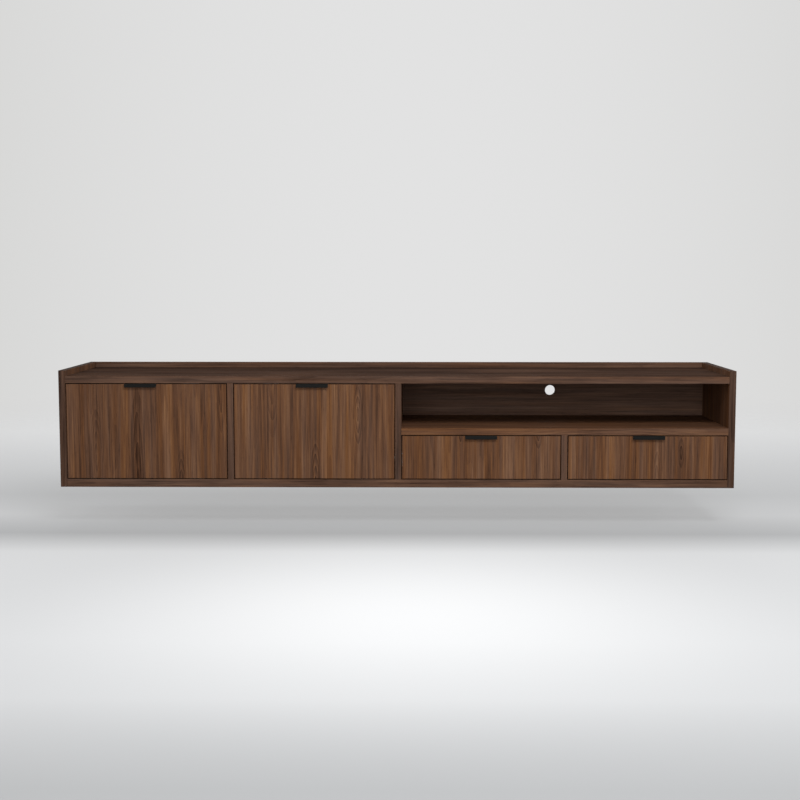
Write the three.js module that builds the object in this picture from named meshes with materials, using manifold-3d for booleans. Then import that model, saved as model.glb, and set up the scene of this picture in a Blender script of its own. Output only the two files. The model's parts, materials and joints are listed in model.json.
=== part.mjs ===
// Wall-hung media console: a walnut carcase with two drop-down flaps on the left, and an open bay over two
// drawers on the right, hung on the wall by a split batten.
// Millimetres. +X is to the right, +Y towards the wall, +Z up, and the fronts face -Y.
// The console is drawn with y = 0 on its front plane and z = 0 on its underside, and the last lines move the
// origin to the middle of the wall batten's rear face, where the console meets the wall.
import * as THREE from "three";
import { mergeVertices } from "three/addons/utils/BufferGeometryUtils.js";
import Module from "manifold-3d";

const wasm = await Module();
wasm.setup();

// Carcase
const width = 2000;
const depth = 400;
const sideThickness = 20;
const bottomThickness = 24;
const topThickness = 21;
const openingHeight = 286;
const lipHeight = 16.5;
const dividerThickness = 18;
const centreDividerOffset = 6;
const drawerOpeningHeight = 133;
const shelfThickness = 21;

// Back, with the tongue that sits in the carcase's grooves
const backThickness = 12;
const backGrooveDepth = 6;
const backRailThickness = 20;
const backRailRebate = 6;
const cableHoleDiameter = 32;
const cableHoleDrop = 51;
const cableHoleOffset = -8;

// Split batten, one half on the back panel and one on the wall
const battenThickness = 18;
const battenPlay = 2;
const battenHeight = 62;
const battenDrop = 7;
const battenSeatLift = 0.4;
const wallBattenInset = 30;

// Fronts
const reveal = 2.7;
const frontThickness = 18;

// Pulls, bent from sheet and hooked over each front's top edge
const pullWidth = 94;
const pullSheet = 1.5;
const pullProjection = 10;
const pullLip = 10.5;
const pullLeg = 20;
const pullBend = 2.5;
const leftFlapPullOffset = -16;
const rightFlapPullOffset = -6;
const leftDrawerPullOffset = -1;
const rightDrawerPullOffset = 2;

// Flap hinges, a round cup in the bottom panel and a round cup in the flap, joined by a gooseneck arm
const hingeAxisBack = 6.5;
const hingeAxisDrop = 9.5;
const hingeInset = 90;
const cupRadius = 17.2;
const cupBoreGap = 0.3;
const cupEdgeWall = 2;
const cupDepth = 12;
const cupWall = 1.2;
const cupBoringDistance = 5;
const baseCupFloor = 1.6;
const flangeThickness = 1.2;
const flangeLength = 54;
const flangeWidth = 20;
const gooseneckWidth = 10;
const gooseneckThickness = 4;
const gooseneckStandoff = 3;
const gooseneckBend = 3;
const hingePinRadius = 2;
const hingePinSeat = 2.5;
const knuckleWall = 0.9;

// Flap stay, a parallel linkage of an arm and a link between a damper housing and the flap's bracket
const stayFlapReach = 110;
const stayFlapStandoff = 14;
const stayPivotBack = 110;
const stayPivotRise = 60;
const stayHousingThickness = 13;
const stayHousingNose = 15;
const stayHousingBody = 24;
const stayHousingLength = 62;
const stayHousingDrop = 8;
const stayBarThickness = 3;
const stayBarEye = 6.5;
const stayPinRadius = 3;
const stayHeadRadius = 5;
const stayHeadThickness = 2;
const stayLayerGap = 0.5;
const bracketSheet = 2;
const bracketFoot = 24;
const bracketHeight = 44;

// Flap catch under the top panel, which is also the flap's closing stop
const catchLength = 46;
const catchDepth = 14;
const catchHeight = 13;
const catchAside = 130;
const catchGap = 0.3;
const catchPoleLength = 14;
const catchPoleSlot = 3;

// Drawer boxes
const boxBoard = 12;
const boxPullGap = 6.3;
const boxBackGap = 30;
const boxRise = 14;
const boxBottomThickness = 6;
const boxBottomRise = 8;
const boxGrooveDepth = 5;

// Drawer slides, three nested channels with ball races between them
const slideSetback = 4;
const slideShortfall = 20;
const slideThickness = 12.7;
const slideFaceGap = 1.7;
const slideHalfHeight = 22.5;
const slideSheet = 1.2;
const slideRunningGap = 0.5;
const slideLip = 2.2;
const slideMiddleShortfall = 12;

// Shared clearances and facets
const runningGap = 0.3;
const cutOverrun = 5;
const cupSteps = 28;
const pinSteps = 16;
const endSteps = 10;
const bendSteps = 4;

// Finishes
const walnut = new THREE.MeshStandardMaterial({ name: "walnut", color: 0x5c4030, roughness: 0.5 });
const birch = new THREE.MeshStandardMaterial({ name: "birch_ply", color: 0xc8a878, roughness: 0.6 });
const batten = new THREE.MeshStandardMaterial({ name: "softwood", color: 0xb79a6c, roughness: 0.8 });
const blackSteel = new THREE.MeshStandardMaterial({
  name: "black_powder_coat", color: 0x1b1d1e, roughness: 0.45, metalness: 0.2,
});
const zincSteel = new THREE.MeshStandardMaterial({
  name: "zinc_plated_steel", color: 0xb4b8ba, roughness: 0.35, metalness: 0.9,
});
const nickelZinc = new THREE.MeshStandardMaterial({
  name: "nickel_plated_die_casting", color: 0xa8a9a6, roughness: 0.3, metalness: 0.9,
});
const greyPlastic = new THREE.MeshStandardMaterial({ name: "grey_plastic", color: 0x3a3c3e, roughness: 0.6 });
for (const finish of [walnut, birch, batten, blackSteel, zincSteel, nickelZinc, greyPlastic]) {
  finish.flatShading = true;
}

// Heights and places that follow from the driving dimensions
const innerHalfWidth = width / 2 - sideThickness;
const openingBottom = bottomThickness;
const openingTop = openingBottom + openingHeight;
const topSurface = openingTop + topThickness;
const height = topSurface + lipHeight;
const backRear = depth - battenThickness - battenPlay;
const backFront = backRear - backThickness;
const boxDepth = backFront - boxBackGap - frontThickness;
const slideLength = boxDepth - slideShortfall;
const slideMouth = slideThickness - slideFaceGap;
const centreDividerLeft = centreDividerOffset - dividerThickness / 2;
const centreDividerRight = centreDividerOffset + dividerThickness / 2;
const shelfUnderside = openingBottom + drawerOpeningHeight;
const shelfSurface = shelfUnderside + shelfThickness;
const bayCentre = (centreDividerRight + innerHalfWidth) / 2;
const flapDividerCentre = (centreDividerLeft - innerHalfWidth) / 2;
const cableHoleHeight = openingTop - cableHoleDrop;
const hangingRailTop = cableHoleHeight - cableHoleDiameter / 2 - battenDrop;

// A box between two places on each axis.
function block([x0, x1], [y0, y1], [z0, z1]) {
  return new THREE.BoxGeometry(x1 - x0, y1 - y0, z1 - z0)
    .translate((x0 + x1) / 2, (y0 + y1) / 2, (z0 + z1) / 2);
}

// A shape drawn in Y and Z, drawn out along X.
function alongX(shape, [x0, x1], steps = endSteps) {
  const turned = new THREE.Matrix4().makeBasis(
    new THREE.Vector3(0, 1, 0), new THREE.Vector3(0, 0, 1), new THREE.Vector3(1, 0, 0),
  );
  const drawn = { depth: x1 - x0, bevelEnabled: false, curveSegments: steps };
  return new THREE.ExtrudeGeometry(shape, drawn).applyMatrix4(turned).translate(x0, 0, 0);
}

// A shape drawn in X and Z, drawn out along Y.
function alongY(shape, [y0, y1]) {
  const turned = new THREE.Matrix4().makeBasis(
    new THREE.Vector3(1, 0, 0), new THREE.Vector3(0, 0, 1), new THREE.Vector3(0, -1, 0),
  );
  const drawn = { depth: y1 - y0, bevelEnabled: false, curveSegments: endSteps };
  return new THREE.ExtrudeGeometry(shape, drawn).applyMatrix4(turned).translate(0, y1, 0);
}

// A shape drawn in X and Y, drawn out along Z.
function alongZ(shape, [z0, z1]) {
  const drawn = { depth: z1 - z0, bevelEnabled: false, curveSegments: endSteps };
  return new THREE.ExtrudeGeometry(shape, drawn).translate(0, 0, z0);
}

// A round bar along X, through the point (y, z).
function rodX(radius, [x0, x1], { y, z }) {
  return new THREE.CylinderGeometry(radius, radius, x1 - x0, pinSteps)
    .rotateZ(Math.PI / 2)
    .translate((x0 + x1) / 2, y, z);
}

// A round bar along Y, through the point (x, z).
function rodY(radius, [y0, y1], { x, z }) {
  return new THREE.CylinderGeometry(radius, radius, y1 - y0, cupSteps).translate(x, (y0 + y1) / 2, z);
}

// A round bar along Z, through the point (x, y).
function rodZ(radius, [z0, z1], { x, y }) {
  return new THREE.CylinderGeometry(radius, radius, z1 - z0, cupSteps)
    .rotateX(Math.PI / 2)
    .translate(x, y, (z0 + z1) / 2);
}

// A closed outline through a list of points.
function outline(points) {
  return new THREE.Shape(points.map(([a, b]) => new THREE.Vector2(a, b)));
}

// The outline round two circles, such as a bar with an eye at each end.
function bar(from, fromRadius, to, toRadius) {
  const heading = Math.atan2(to.z - from.z, to.y - from.y);
  const reach = Math.hypot(to.y - from.y, to.z - from.z);
  const spread = Math.acos((fromRadius - toRadius) / reach);
  const shape = new THREE.Shape();
  shape.absarc(from.y, from.z, fromRadius, heading + spread, heading - spread + 2 * Math.PI, false);
  shape.absarc(to.y, to.z, toRadius, heading - spread, heading + spread, false);
  return shape;
}

// A slot-shaped outline with round ends, long along its first axis.
function roundEnded(centreA, centreB, length, across) {
  const half = (length - across) / 2;
  const shape = new THREE.Shape();
  shape.absarc(centreA + half, centreB, across / 2, -Math.PI / 2, Math.PI / 2, false);
  shape.absarc(centreA - half, centreB, across / 2, Math.PI / 2, (3 * Math.PI) / 2, false);
  return shape;
}

// A closed geometry as a solid that can be joined and cut.
function solid(geometry) {
  const bare = geometry.clone();
  bare.deleteAttribute("normal");
  bare.deleteAttribute("uv");
  const merged = mergeVertices(bare);
  return new wasm.Manifold(new wasm.Mesh({
    numProp: 3,
    vertProperties: merged.attributes.position.array,
    triVerts: new Uint32Array(merged.index.array),
  }));
}

// The geometry of a start that is joined with some shapes and cut by others.
function shaped(start, { join = [], cut = [], keep = [] }) {
  let made = solid(start);
  for (const piece of join) made = made.add(solid(piece));
  for (const piece of cut) made = made.subtract(solid(piece));
  for (const piece of keep) made = made.add(solid(piece));
  const { vertProperties, triVerts } = made.getMesh();
  return new THREE.BufferGeometry()
    .setAttribute("position", new THREE.BufferAttribute(vertProperties, 3))
    .setIndex(new THREE.BufferAttribute(triVerts, 1));
}

// Adds one named piece to a group.
function piece(group, name, geometry, material) {
  const mesh = new THREE.Mesh(geometry, material);
  mesh.name = name;
  group.add(mesh);
}

// The hinge axis, which all the flap's hinge and stay sizes start from.
const hingeAxis = { y: hingeAxisBack, z: openingBottom - hingeAxisDrop };

// The places of the two hinges across one flap's opening.
function hingePlaces([x0, x1]) {
  return [x0 + reveal + hingeInset, x1 - reveal - hingeInset];
}

const leftFlapOpening = [-innerHalfWidth, flapDividerCentre - dividerThickness / 2];
const rightFlapOpening = [flapDividerCentre + dividerThickness / 2, centreDividerLeft];
const leftDrawerOpening = [centreDividerRight, bayCentre - dividerThickness / 2];
const rightDrawerOpening = [bayCentre + dividerThickness / 2, innerHalfWidth];

// The hinge's cups: the base cup's bore goes down into the bottom panel, the flap cup's forward into the flap.
const cupBoreRadius = cupRadius + cupBoreGap;
const baseCupBack = cupEdgeWall + cupBoreRadius;
const knuckleRadius = hingePinRadius + runningGap + knuckleWall;
const baseCupBottom = hingeAxis.z - knuckleRadius - runningGap - baseCupFloor;
const flapCupHeight = openingBottom + reveal + cupBoringDistance + cupBoreRadius;
const gooseneckInside = frontThickness + flangeThickness + gooseneckStandoff;
const gooseneckOutside = gooseneckInside + gooseneckThickness;

const console3d = new THREE.Group();
console3d.name = "media_console";

// Carcase: the sides run from top to bottom, and everything else stands between them.
function buildCarcase() {
  const group = new THREE.Group();
  const inner = [-innerHalfWidth, innerHalfWidth];
  const whole = [0, depth];
  const groove = [backFront, backRear];
  const tongue = [openingBottom - backGrooveDepth, openingTop + backGrooveDepth];
  const tongueHalfWidth = innerHalfWidth + backGrooveDepth;

  for (const [name, side] of [["left_side_panel", -1], ["right_side_panel", 1]]) {
    const faces = [side * innerHalfWidth, (side * width) / 2].sort((a, b) => a - b);
    const cut = [side * (innerHalfWidth - cutOverrun), side * tongueHalfWidth].sort((a, b) => a - b);
    piece(group, name, shaped(block(faces, whole, [0, height]), { cut: [block(cut, groove, tongue)] }), walnut);
  }

  const long = [-innerHalfWidth - cutOverrun, innerHalfWidth + cutOverrun];
  const railFront = depth - backRailThickness;
  const railFoot = topSurface - backRailRebate;
  piece(group, "top_panel", shaped(block(inner, whole, [openingTop, topSurface]), {
    cut: [
      block(long, groove, [openingTop - cutOverrun, openingTop + backGrooveDepth]),
      block(long, [railFront, depth + cutOverrun], [railFoot, topSurface + cutOverrun]),
    ],
  }), walnut);

  const cupBores = [...hingePlaces(leftFlapOpening), ...hingePlaces(rightFlapOpening)].map((x) =>
    rodZ(cupBoreRadius, [baseCupBottom - cupBoreGap, openingBottom + cutOverrun], { x, y: baseCupBack }));
  piece(group, "bottom_panel", shaped(block(inner, whole, [0, openingBottom]), {
    cut: [block(long, groove, [openingBottom - backGrooveDepth, openingBottom + cutOverrun]), ...cupBores],
  }), walnut);

  const behindFronts = [0, backFront];
  const fullOpening = [openingBottom, openingTop];
  const flapDivider = [leftFlapOpening[1], rightFlapOpening[0]];
  const drawerDivider = [leftDrawerOpening[1], rightDrawerOpening[0]];
  piece(group, "flap_divider", block(flapDivider, behindFronts, fullOpening), walnut);
  piece(group, "centre_divider", block([centreDividerLeft, centreDividerRight], behindFronts, fullOpening), walnut);
  piece(group, "drawer_divider", block(drawerDivider, behindFronts, [openingBottom, shelfUnderside]), walnut);
  piece(group, "shelf", block([centreDividerRight, innerHalfWidth], behindFronts,
    [shelfUnderside, shelfSurface]), walnut);

  const holePlace = { x: bayCentre + cableHoleOffset, z: cableHoleHeight };
  const holeSpan = [backFront - cutOverrun, backRear + cutOverrun];
  piece(group, "back_panel", shaped(block([-tongueHalfWidth, tongueHalfWidth], groove, tongue), {
    cut: [rodY(cableHoleDiameter / 2, holeSpan, holePlace)],
  }), walnut);
  piece(group, "back_rail", block(inner, [railFront, depth], [railFoot, height]), walnut);
  return group;
}

// Split batten: the hanging rail's sloped lower edge drops behind the wall batten's sloped upper edge.
const hangingRailRear = backRear + battenThickness;
const wallBattenFront = depth - battenThickness;
const hangingRailTip = hangingRailTop - battenHeight;
const slopeAtBack = hangingRailTip + battenThickness;
const wallBattenTop = slopeAtBack - (wallBattenFront - backRear) - battenSeatLift;
const wallBattenBottom = wallBattenTop - battenHeight;
const wallBattenRearTop = wallBattenTop - battenThickness;
const wallBattenHalfLength = innerHalfWidth - wallBattenInset;

function buildBattens() {
  const group = new THREE.Group();
  const hangingRail = outline([
    [backRear, slopeAtBack], [hangingRailRear, hangingRailTip],
    [hangingRailRear, hangingRailTop], [backRear, hangingRailTop],
  ]);
  piece(group, "hanging_rail", alongX(hangingRail, [-innerHalfWidth, innerHalfWidth]), batten);
  const wallBatten = outline([
    [wallBattenFront, wallBattenBottom], [depth, wallBattenBottom],
    [depth, wallBattenRearTop], [wallBattenFront, wallBattenTop],
  ]);
  piece(group, "wall_batten", alongX(wallBatten, [-wallBattenHalfLength, wallBattenHalfLength]), batten);
  return group;
}

// The sheet pull: a leg down the front's rear face, over its top edge, and a lip turned down before it.
function pull(centre, frontTop) {
  const lipFace = -pullProjection;
  const sheetTop = frontTop + pullSheet;
  const bendY = lipFace + pullBend;
  const bendZ = sheetTop - pullBend;
  const legBack = frontThickness + pullSheet;
  const shape = new THREE.Shape();
  shape.moveTo(legBack, frontTop - pullLeg);
  shape.lineTo(legBack, sheetTop);
  shape.lineTo(bendY, sheetTop);
  shape.absarc(bendY, bendZ, pullBend, Math.PI / 2, Math.PI, false);
  shape.lineTo(lipFace, sheetTop - pullLip);
  shape.lineTo(lipFace + pullSheet, sheetTop - pullLip);
  shape.absarc(bendY, bendZ, pullBend - pullSheet, Math.PI, Math.PI / 2, true);
  shape.lineTo(frontThickness, frontTop);
  shape.lineTo(frontThickness, frontTop - pullLeg);
  return alongX(shape, [centre - pullWidth / 2, centre + pullWidth / 2], bendSteps);
}

// The base cup: bored into the bottom panel, slotted for the gooseneck's swing, with the hinge pin across it.
function hingeBase(x) {
  const place = { x, y: baseCupBack };
  const swing = Math.hypot(gooseneckOutside - hingeAxis.y, knuckleRadius) + runningGap;
  const slotHalf = gooseneckWidth / 2 + runningGap;
  const slot = block(
    [x - slotHalf, x + slotHalf],
    [-cutOverrun, hingeAxis.y + swing],
    [hingeAxis.z - knuckleRadius - runningGap, openingBottom + flangeThickness + cutOverrun],
  );
  const flange = alongZ(roundEnded(x, baseCupBack, flangeLength, flangeWidth),
    [openingBottom, openingBottom + flangeThickness]);
  const pinHalf = slotHalf + hingePinSeat;
  return shaped(rodZ(cupRadius, [baseCupBottom, openingBottom], place), {
    join: [flange],
    cut: [slot],
    keep: [rodX(hingePinRadius, [x - pinHalf, x + pinHalf], hingeAxis)],
  });
}

// The flap cup and its gooseneck arm: from the knuckle back under the flap, up behind it, and into the cup.
function hingeArm(x) {
  const place = { x, z: flapCupHeight };
  const cupFront = frontThickness - cupDepth;
  const low = hingeAxis.z - knuckleRadius;
  const high = flapCupHeight + gooseneckThickness / 2;
  const bend = gooseneckBend;
  const neck = new THREE.Shape();
  neck.moveTo(hingeAxis.y, low);
  neck.lineTo(gooseneckOutside - bend, low);
  neck.absarc(gooseneckOutside - bend, low + bend, bend, -Math.PI / 2, 0, false);
  neck.absarc(gooseneckOutside - bend, high - bend, bend, 0, Math.PI / 2, false);
  neck.lineTo(cupFront + cupWall / 2, high);
  neck.lineTo(cupFront + cupWall / 2, high - gooseneckThickness);
  neck.lineTo(gooseneckInside, high - gooseneckThickness);
  neck.lineTo(gooseneckInside, low + gooseneckThickness);
  neck.lineTo(hingeAxis.y, low + gooseneckThickness);
  const half = gooseneckWidth / 2;
  const neckSolid = alongX(neck, [x - half, x + half], bendSteps);
  const knuckle = rodX(knuckleRadius, [x - half, x + half], hingeAxis);
  const flange = alongY(roundEnded(x, flapCupHeight, flangeLength, flangeWidth),
    [frontThickness, frontThickness + flangeThickness]);
  const hollow = rodY(cupRadius - cupWall, [cupFront + cupWall, frontThickness + cutOverrun], place);
  const cup = shaped(rodY(cupRadius, [cupFront, frontThickness], place), { join: [flange], cut: [hollow] });
  const bore = rodX(hingePinRadius + runningGap, [x - half - cutOverrun, x + half + cutOverrun], hingeAxis);
  return shaped(cup, { join: [neckSolid, knuckle], cut: [bore] });
}

// The stay's four pivots make a parallelogram, so its arm always turns as far as the flap does.
const flapPivot = { y: frontThickness + stayFlapStandoff, z: hingeAxis.z + stayFlapReach };
const housingPivot = { y: hingeAxis.y + stayPivotBack, z: hingeAxis.z + stayPivotRise };
const elbow = {
  y: housingPivot.y + flapPivot.y - hingeAxis.y,
  z: housingPivot.z + flapPivot.z - hingeAxis.z,
};

// The stay, in layers off the compartment's wall: housing, arm, link and bracket. side is +1 on a left wall.
function buildStay(group, flapName, wall, side) {
  const layer = (from, to) => [wall + side * from, wall + side * to].sort((a, b) => a - b);
  const armFrom = stayHousingThickness + stayLayerGap;
  const armTo = armFrom + stayBarThickness;
  const linkFrom = armTo + stayLayerGap;
  const linkTo = linkFrom + stayBarThickness;
  const earFrom = linkTo + stayLayerGap;
  const earTo = earFrom + bracketSheet;
  const bore = stayPinRadius + runningGap;
  const through = layer(0, earTo + cutOverrun);

  const housingEnd = { y: housingPivot.y + stayHousingLength, z: housingPivot.z - stayHousingDrop };
  const housingBar = bar(housingPivot, stayHousingNose, housingEnd, stayHousingBody);
  piece(group, flapName + "_stay_housing", shaped(alongX(housingBar, layer(0, stayHousingThickness)), {
    join: [
      rodX(stayPinRadius, layer(stayHousingThickness / 2, armTo + runningGap + stayHeadThickness), housingPivot),
      rodX(stayHeadRadius, layer(armTo + runningGap, armTo + runningGap + stayHeadThickness), housingPivot),
    ],
  }), nickelZinc);

  const armBar = bar(housingPivot, stayBarEye, elbow, stayBarEye);
  piece(group, flapName + "_stay_arm", shaped(alongX(armBar, layer(armFrom, armTo)), {
    cut: [rodX(bore, through, housingPivot)],
    keep: [
      rodX(stayPinRadius, layer(armFrom, linkTo + runningGap + stayHeadThickness), elbow),
      rodX(stayHeadRadius, layer(linkTo + runningGap, linkTo + runningGap + stayHeadThickness), elbow),
    ],
  }), nickelZinc);

  const linkBar = bar(elbow, stayBarEye, flapPivot, stayBarEye);
  piece(group, flapName + "_stay_link", shaped(alongX(linkBar, layer(linkFrom, linkTo)), {
    cut: [rodX(bore, through, elbow), rodX(bore, through, flapPivot)],
  }), nickelZinc);

  const footSpan = [flapPivot.z - bracketHeight / 2, flapPivot.z + bracketHeight / 2];
  const earRoot = frontThickness + bracketSheet;
  const ear = new THREE.Shape();
  ear.moveTo(frontThickness, footSpan[0]);
  ear.lineTo(earRoot, footSpan[0]);
  ear.absarc(flapPivot.y, flapPivot.z, stayBarEye, -Math.PI / 3, Math.PI / 3, false);
  ear.lineTo(earRoot, footSpan[1]);
  ear.lineTo(frontThickness, footSpan[1]);
  const head = layer(linkFrom - runningGap - stayHeadThickness, linkFrom - runningGap);
  piece(group, flapName + "_stay_bracket", shaped(alongX(ear, layer(earFrom, earTo)), {
    join: [
      block(layer(earFrom, earFrom + bracketFoot), [frontThickness, earRoot], footSpan),
      rodX(stayPinRadius, layer(linkFrom - runningGap - stayHeadThickness, earTo), flapPivot),
      rodX(stayHeadRadius, head, flapPivot),
    ],
  }), nickelZinc);
}

// The catch: a moulded body under the top panel, with two steel poles that the flap closes on.
function flapCatch(centre) {
  const body = [frontThickness + catchGap, frontThickness + catchGap + catchDepth];
  const span = [centre - catchLength / 2, centre + catchLength / 2];
  const cut = [centre - catchPoleLength / 2, centre + catchPoleLength / 2];
  const slotTop = openingTop - catchHeight + catchPoleSlot;
  return shaped(block(span, body, [openingTop - catchHeight, openingTop]), {
    cut: [block(cut, [body[0] - cutOverrun, body[0] + catchPoleSlot], [openingTop - catchHeight - cutOverrun, slotTop])],
  });
}

// One flap with its pull, hinges, stay and catch. side is +1 where the stay is on the left wall.
function buildFlap(name, opening, pullOffset, side) {
  const group = new THREE.Group();
  const [x0, x1] = [opening[0] + reveal, opening[1] - reveal];
  const [z0, z1] = [openingBottom + reveal, openingTop - reveal];
  const centre = (x0 + x1) / 2;
  const hinges = hingePlaces(opening);
  const boreDepth = [frontThickness - cupDepth - cupBoreGap, frontThickness + cutOverrun];
  piece(group, name + "_front", shaped(block([x0, x1], [0, frontThickness], [z0, z1]), {
    cut: hinges.map((x) => rodY(cupBoreRadius, boreDepth, { x, z: flapCupHeight })),
  }), walnut);
  piece(group, name + "_pull", pull(centre + pullOffset, z1), blackSteel);
  hinges.forEach((x, i) => {
    const which = ["left", "right"][i];
    piece(group, `${name}_${which}_hinge_base`, hingeBase(x), nickelZinc);
    piece(group, `${name}_${which}_hinge_arm`, hingeArm(x), nickelZinc);
  });
  buildStay(group, name, side > 0 ? opening[0] : opening[1], side);
  piece(group, name + "_catch", flapCatch(centre + side * catchAside), greyPlastic);
  return group;
}

// A slide channel whose flanges end in lips turned inwards. u runs off the cabinet's wall.
function channel(from, to, half) {
  const tip = half - slideSheet - slideLip;
  const inner = half - slideSheet;
  return [
    [from, -half], [to, -half], [to, -tip], [to - slideSheet, -tip], [to - slideSheet, -inner],
    [from + slideSheet, -inner], [from + slideSheet, inner], [to - slideSheet, inner],
    [to - slideSheet, tip], [to, tip], [to, half], [from, half],
  ];
}

// The drawer member: a hat section whose turned-out lips are held inside the middle channel.
function hatSection(from, to, half, flange) {
  const inner = flange - slideSheet;
  return [
    [from, -half], [from + slideSheet, -half], [from + slideSheet, -flange], [to, -flange],
    [to, flange], [from + slideSheet, flange], [from + slideSheet, half], [from, half],
    [from, inner], [to - slideSheet, inner], [to - slideSheet, -inner], [from, -inner],
  ];
}

// The three members of one slide on a cabinet wall. side is +1 where the wall is on the drawer's left.
function buildSlide(group, name, wall, side, centreHeight) {
  const start = frontThickness + slideSetback;
  const placed = (points) => {
    const moved = points.map(([u, v]) => [wall + side * u, centreHeight + v]);
    return outline(side > 0 ? moved : moved.reverse());
  };
  const nest = slideSheet + slideRunningGap;
  const middleHalf = slideHalfHeight - nest;
  const drawerHalf = middleHalf - nest;
  const drawerFlange = middleHalf - slideSheet - slideLip - slideRunningGap;
  const cabinetMember = channel(0, slideMouth, slideHalfHeight);
  const middleMember = channel(nest, slideMouth - nest, middleHalf);
  const drawerMember = hatSection(2 * nest, slideThickness, drawerHalf, drawerFlange);
  const run = [start, start + slideLength];
  const middleRun = [start + slideMiddleShortfall / 2, start + slideLength - slideMiddleShortfall / 2];
  piece(group, name + "_cabinet_member", alongY(placed(cabinetMember), run), zincSteel);
  piece(group, name + "_middle_member", alongY(placed(middleMember), middleRun), zincSteel);
  piece(group, name + "_drawer_member", alongY(placed(drawerMember), run), zincSteel);
}

// One drawer: its front and pull, a box of boards on a grooved-in bottom, and a slide on each side.
function buildDrawer(name, opening, pullOffset) {
  const group = new THREE.Group();
  const [x0, x1] = [opening[0] + reveal, opening[1] - reveal];
  const [z0, z1] = [openingBottom + reveal, shelfUnderside - reveal];
  const centre = (x0 + x1) / 2;
  piece(group, name + "_front", block([x0, x1], [0, frontThickness], [z0, z1]), walnut);
  piece(group, name + "_pull", pull(centre + pullOffset, z1), blackSteel);

  const boxLeft = opening[0] + slideThickness;
  const boxRight = opening[1] - slideThickness;
  const boxLow = openingBottom + boxRise;
  const boxHigh = z1 - pullLeg - boxPullGap;
  const boxRun = [frontThickness, frontThickness + boxDepth];
  const bottomLow = boxLow + boxBottomRise;
  const bottomHigh = bottomLow + boxBottomThickness;
  const insideLeft = boxLeft + boxBoard;
  const insideRight = boxRight - boxBoard;
  const insideRun = [boxRun[0] + boxBoard, boxRun[1] - boxBoard];
  const grooveX = [insideLeft - boxGrooveDepth, insideRight + boxGrooveDepth];
  const grooveStart = insideRun[0] - boxGrooveDepth;
  const bottomBoard = block(grooveX, [grooveStart, boxRun[1]], [bottomLow, bottomHigh]);
  const grooveCut = block(grooveX, [grooveStart, boxRun[1] + cutOverrun], [bottomLow, bottomHigh]);
  const boards = {
    box_left_side: block([boxLeft, insideLeft], boxRun, [boxLow, boxHigh]),
    box_right_side: block([insideRight, boxRight], boxRun, [boxLow, boxHigh]),
    box_front: block([insideLeft, insideRight], [boxRun[0], insideRun[0]], [boxLow, boxHigh]),
  };
  for (const [board, geometry] of Object.entries(boards)) {
    piece(group, `${name}_${board}`, shaped(geometry, { cut: [grooveCut] }), birch);
  }
  piece(group, name + "_box_back", block([insideLeft, insideRight], [insideRun[1], boxRun[1]],
    [bottomHigh, boxHigh]), birch);
  piece(group, name + "_box_bottom", bottomBoard, birch);

  const slideHeight = (boxLow + boxHigh) / 2;
  buildSlide(group, name + "_left_slide", opening[0], 1, slideHeight);
  buildSlide(group, name + "_right_slide", opening[1], -1, slideHeight);
  return group;
}

console3d.add(
  buildCarcase(),
  buildBattens(),
  buildFlap("left_flap", leftFlapOpening, leftFlapPullOffset, 1),
  buildFlap("right_flap", rightFlapOpening, rightFlapPullOffset, -1),
  buildDrawer("left_drawer", leftDrawerOpening, leftDrawerPullOffset),
  buildDrawer("right_drawer", rightDrawerOpening, rightDrawerPullOffset),
);

// The origin goes to the middle of the wall batten's rear face.
const origin = new THREE.Vector3(0, depth, (wallBattenBottom + wallBattenRearTop) / 2);
console3d.position.copy(origin).negate();

export default console3d;
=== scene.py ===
"""Looks of the walnut media console: boards, fronts, pulls, hinges, stays, slides, drawer boxes, battens, screws.

Metres, in the frame's own axes: +X to the right, +Y towards the wall, +Z up, and the fronts face -Y. Sizes are
written in millimetres times MM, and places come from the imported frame's nodes.
"""
import json
import logging
import math
from collections.abc import Callable, Sequence
from dataclasses import dataclass
from enum import Enum

import bpy
from mathutils import Matrix, Vector

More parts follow.
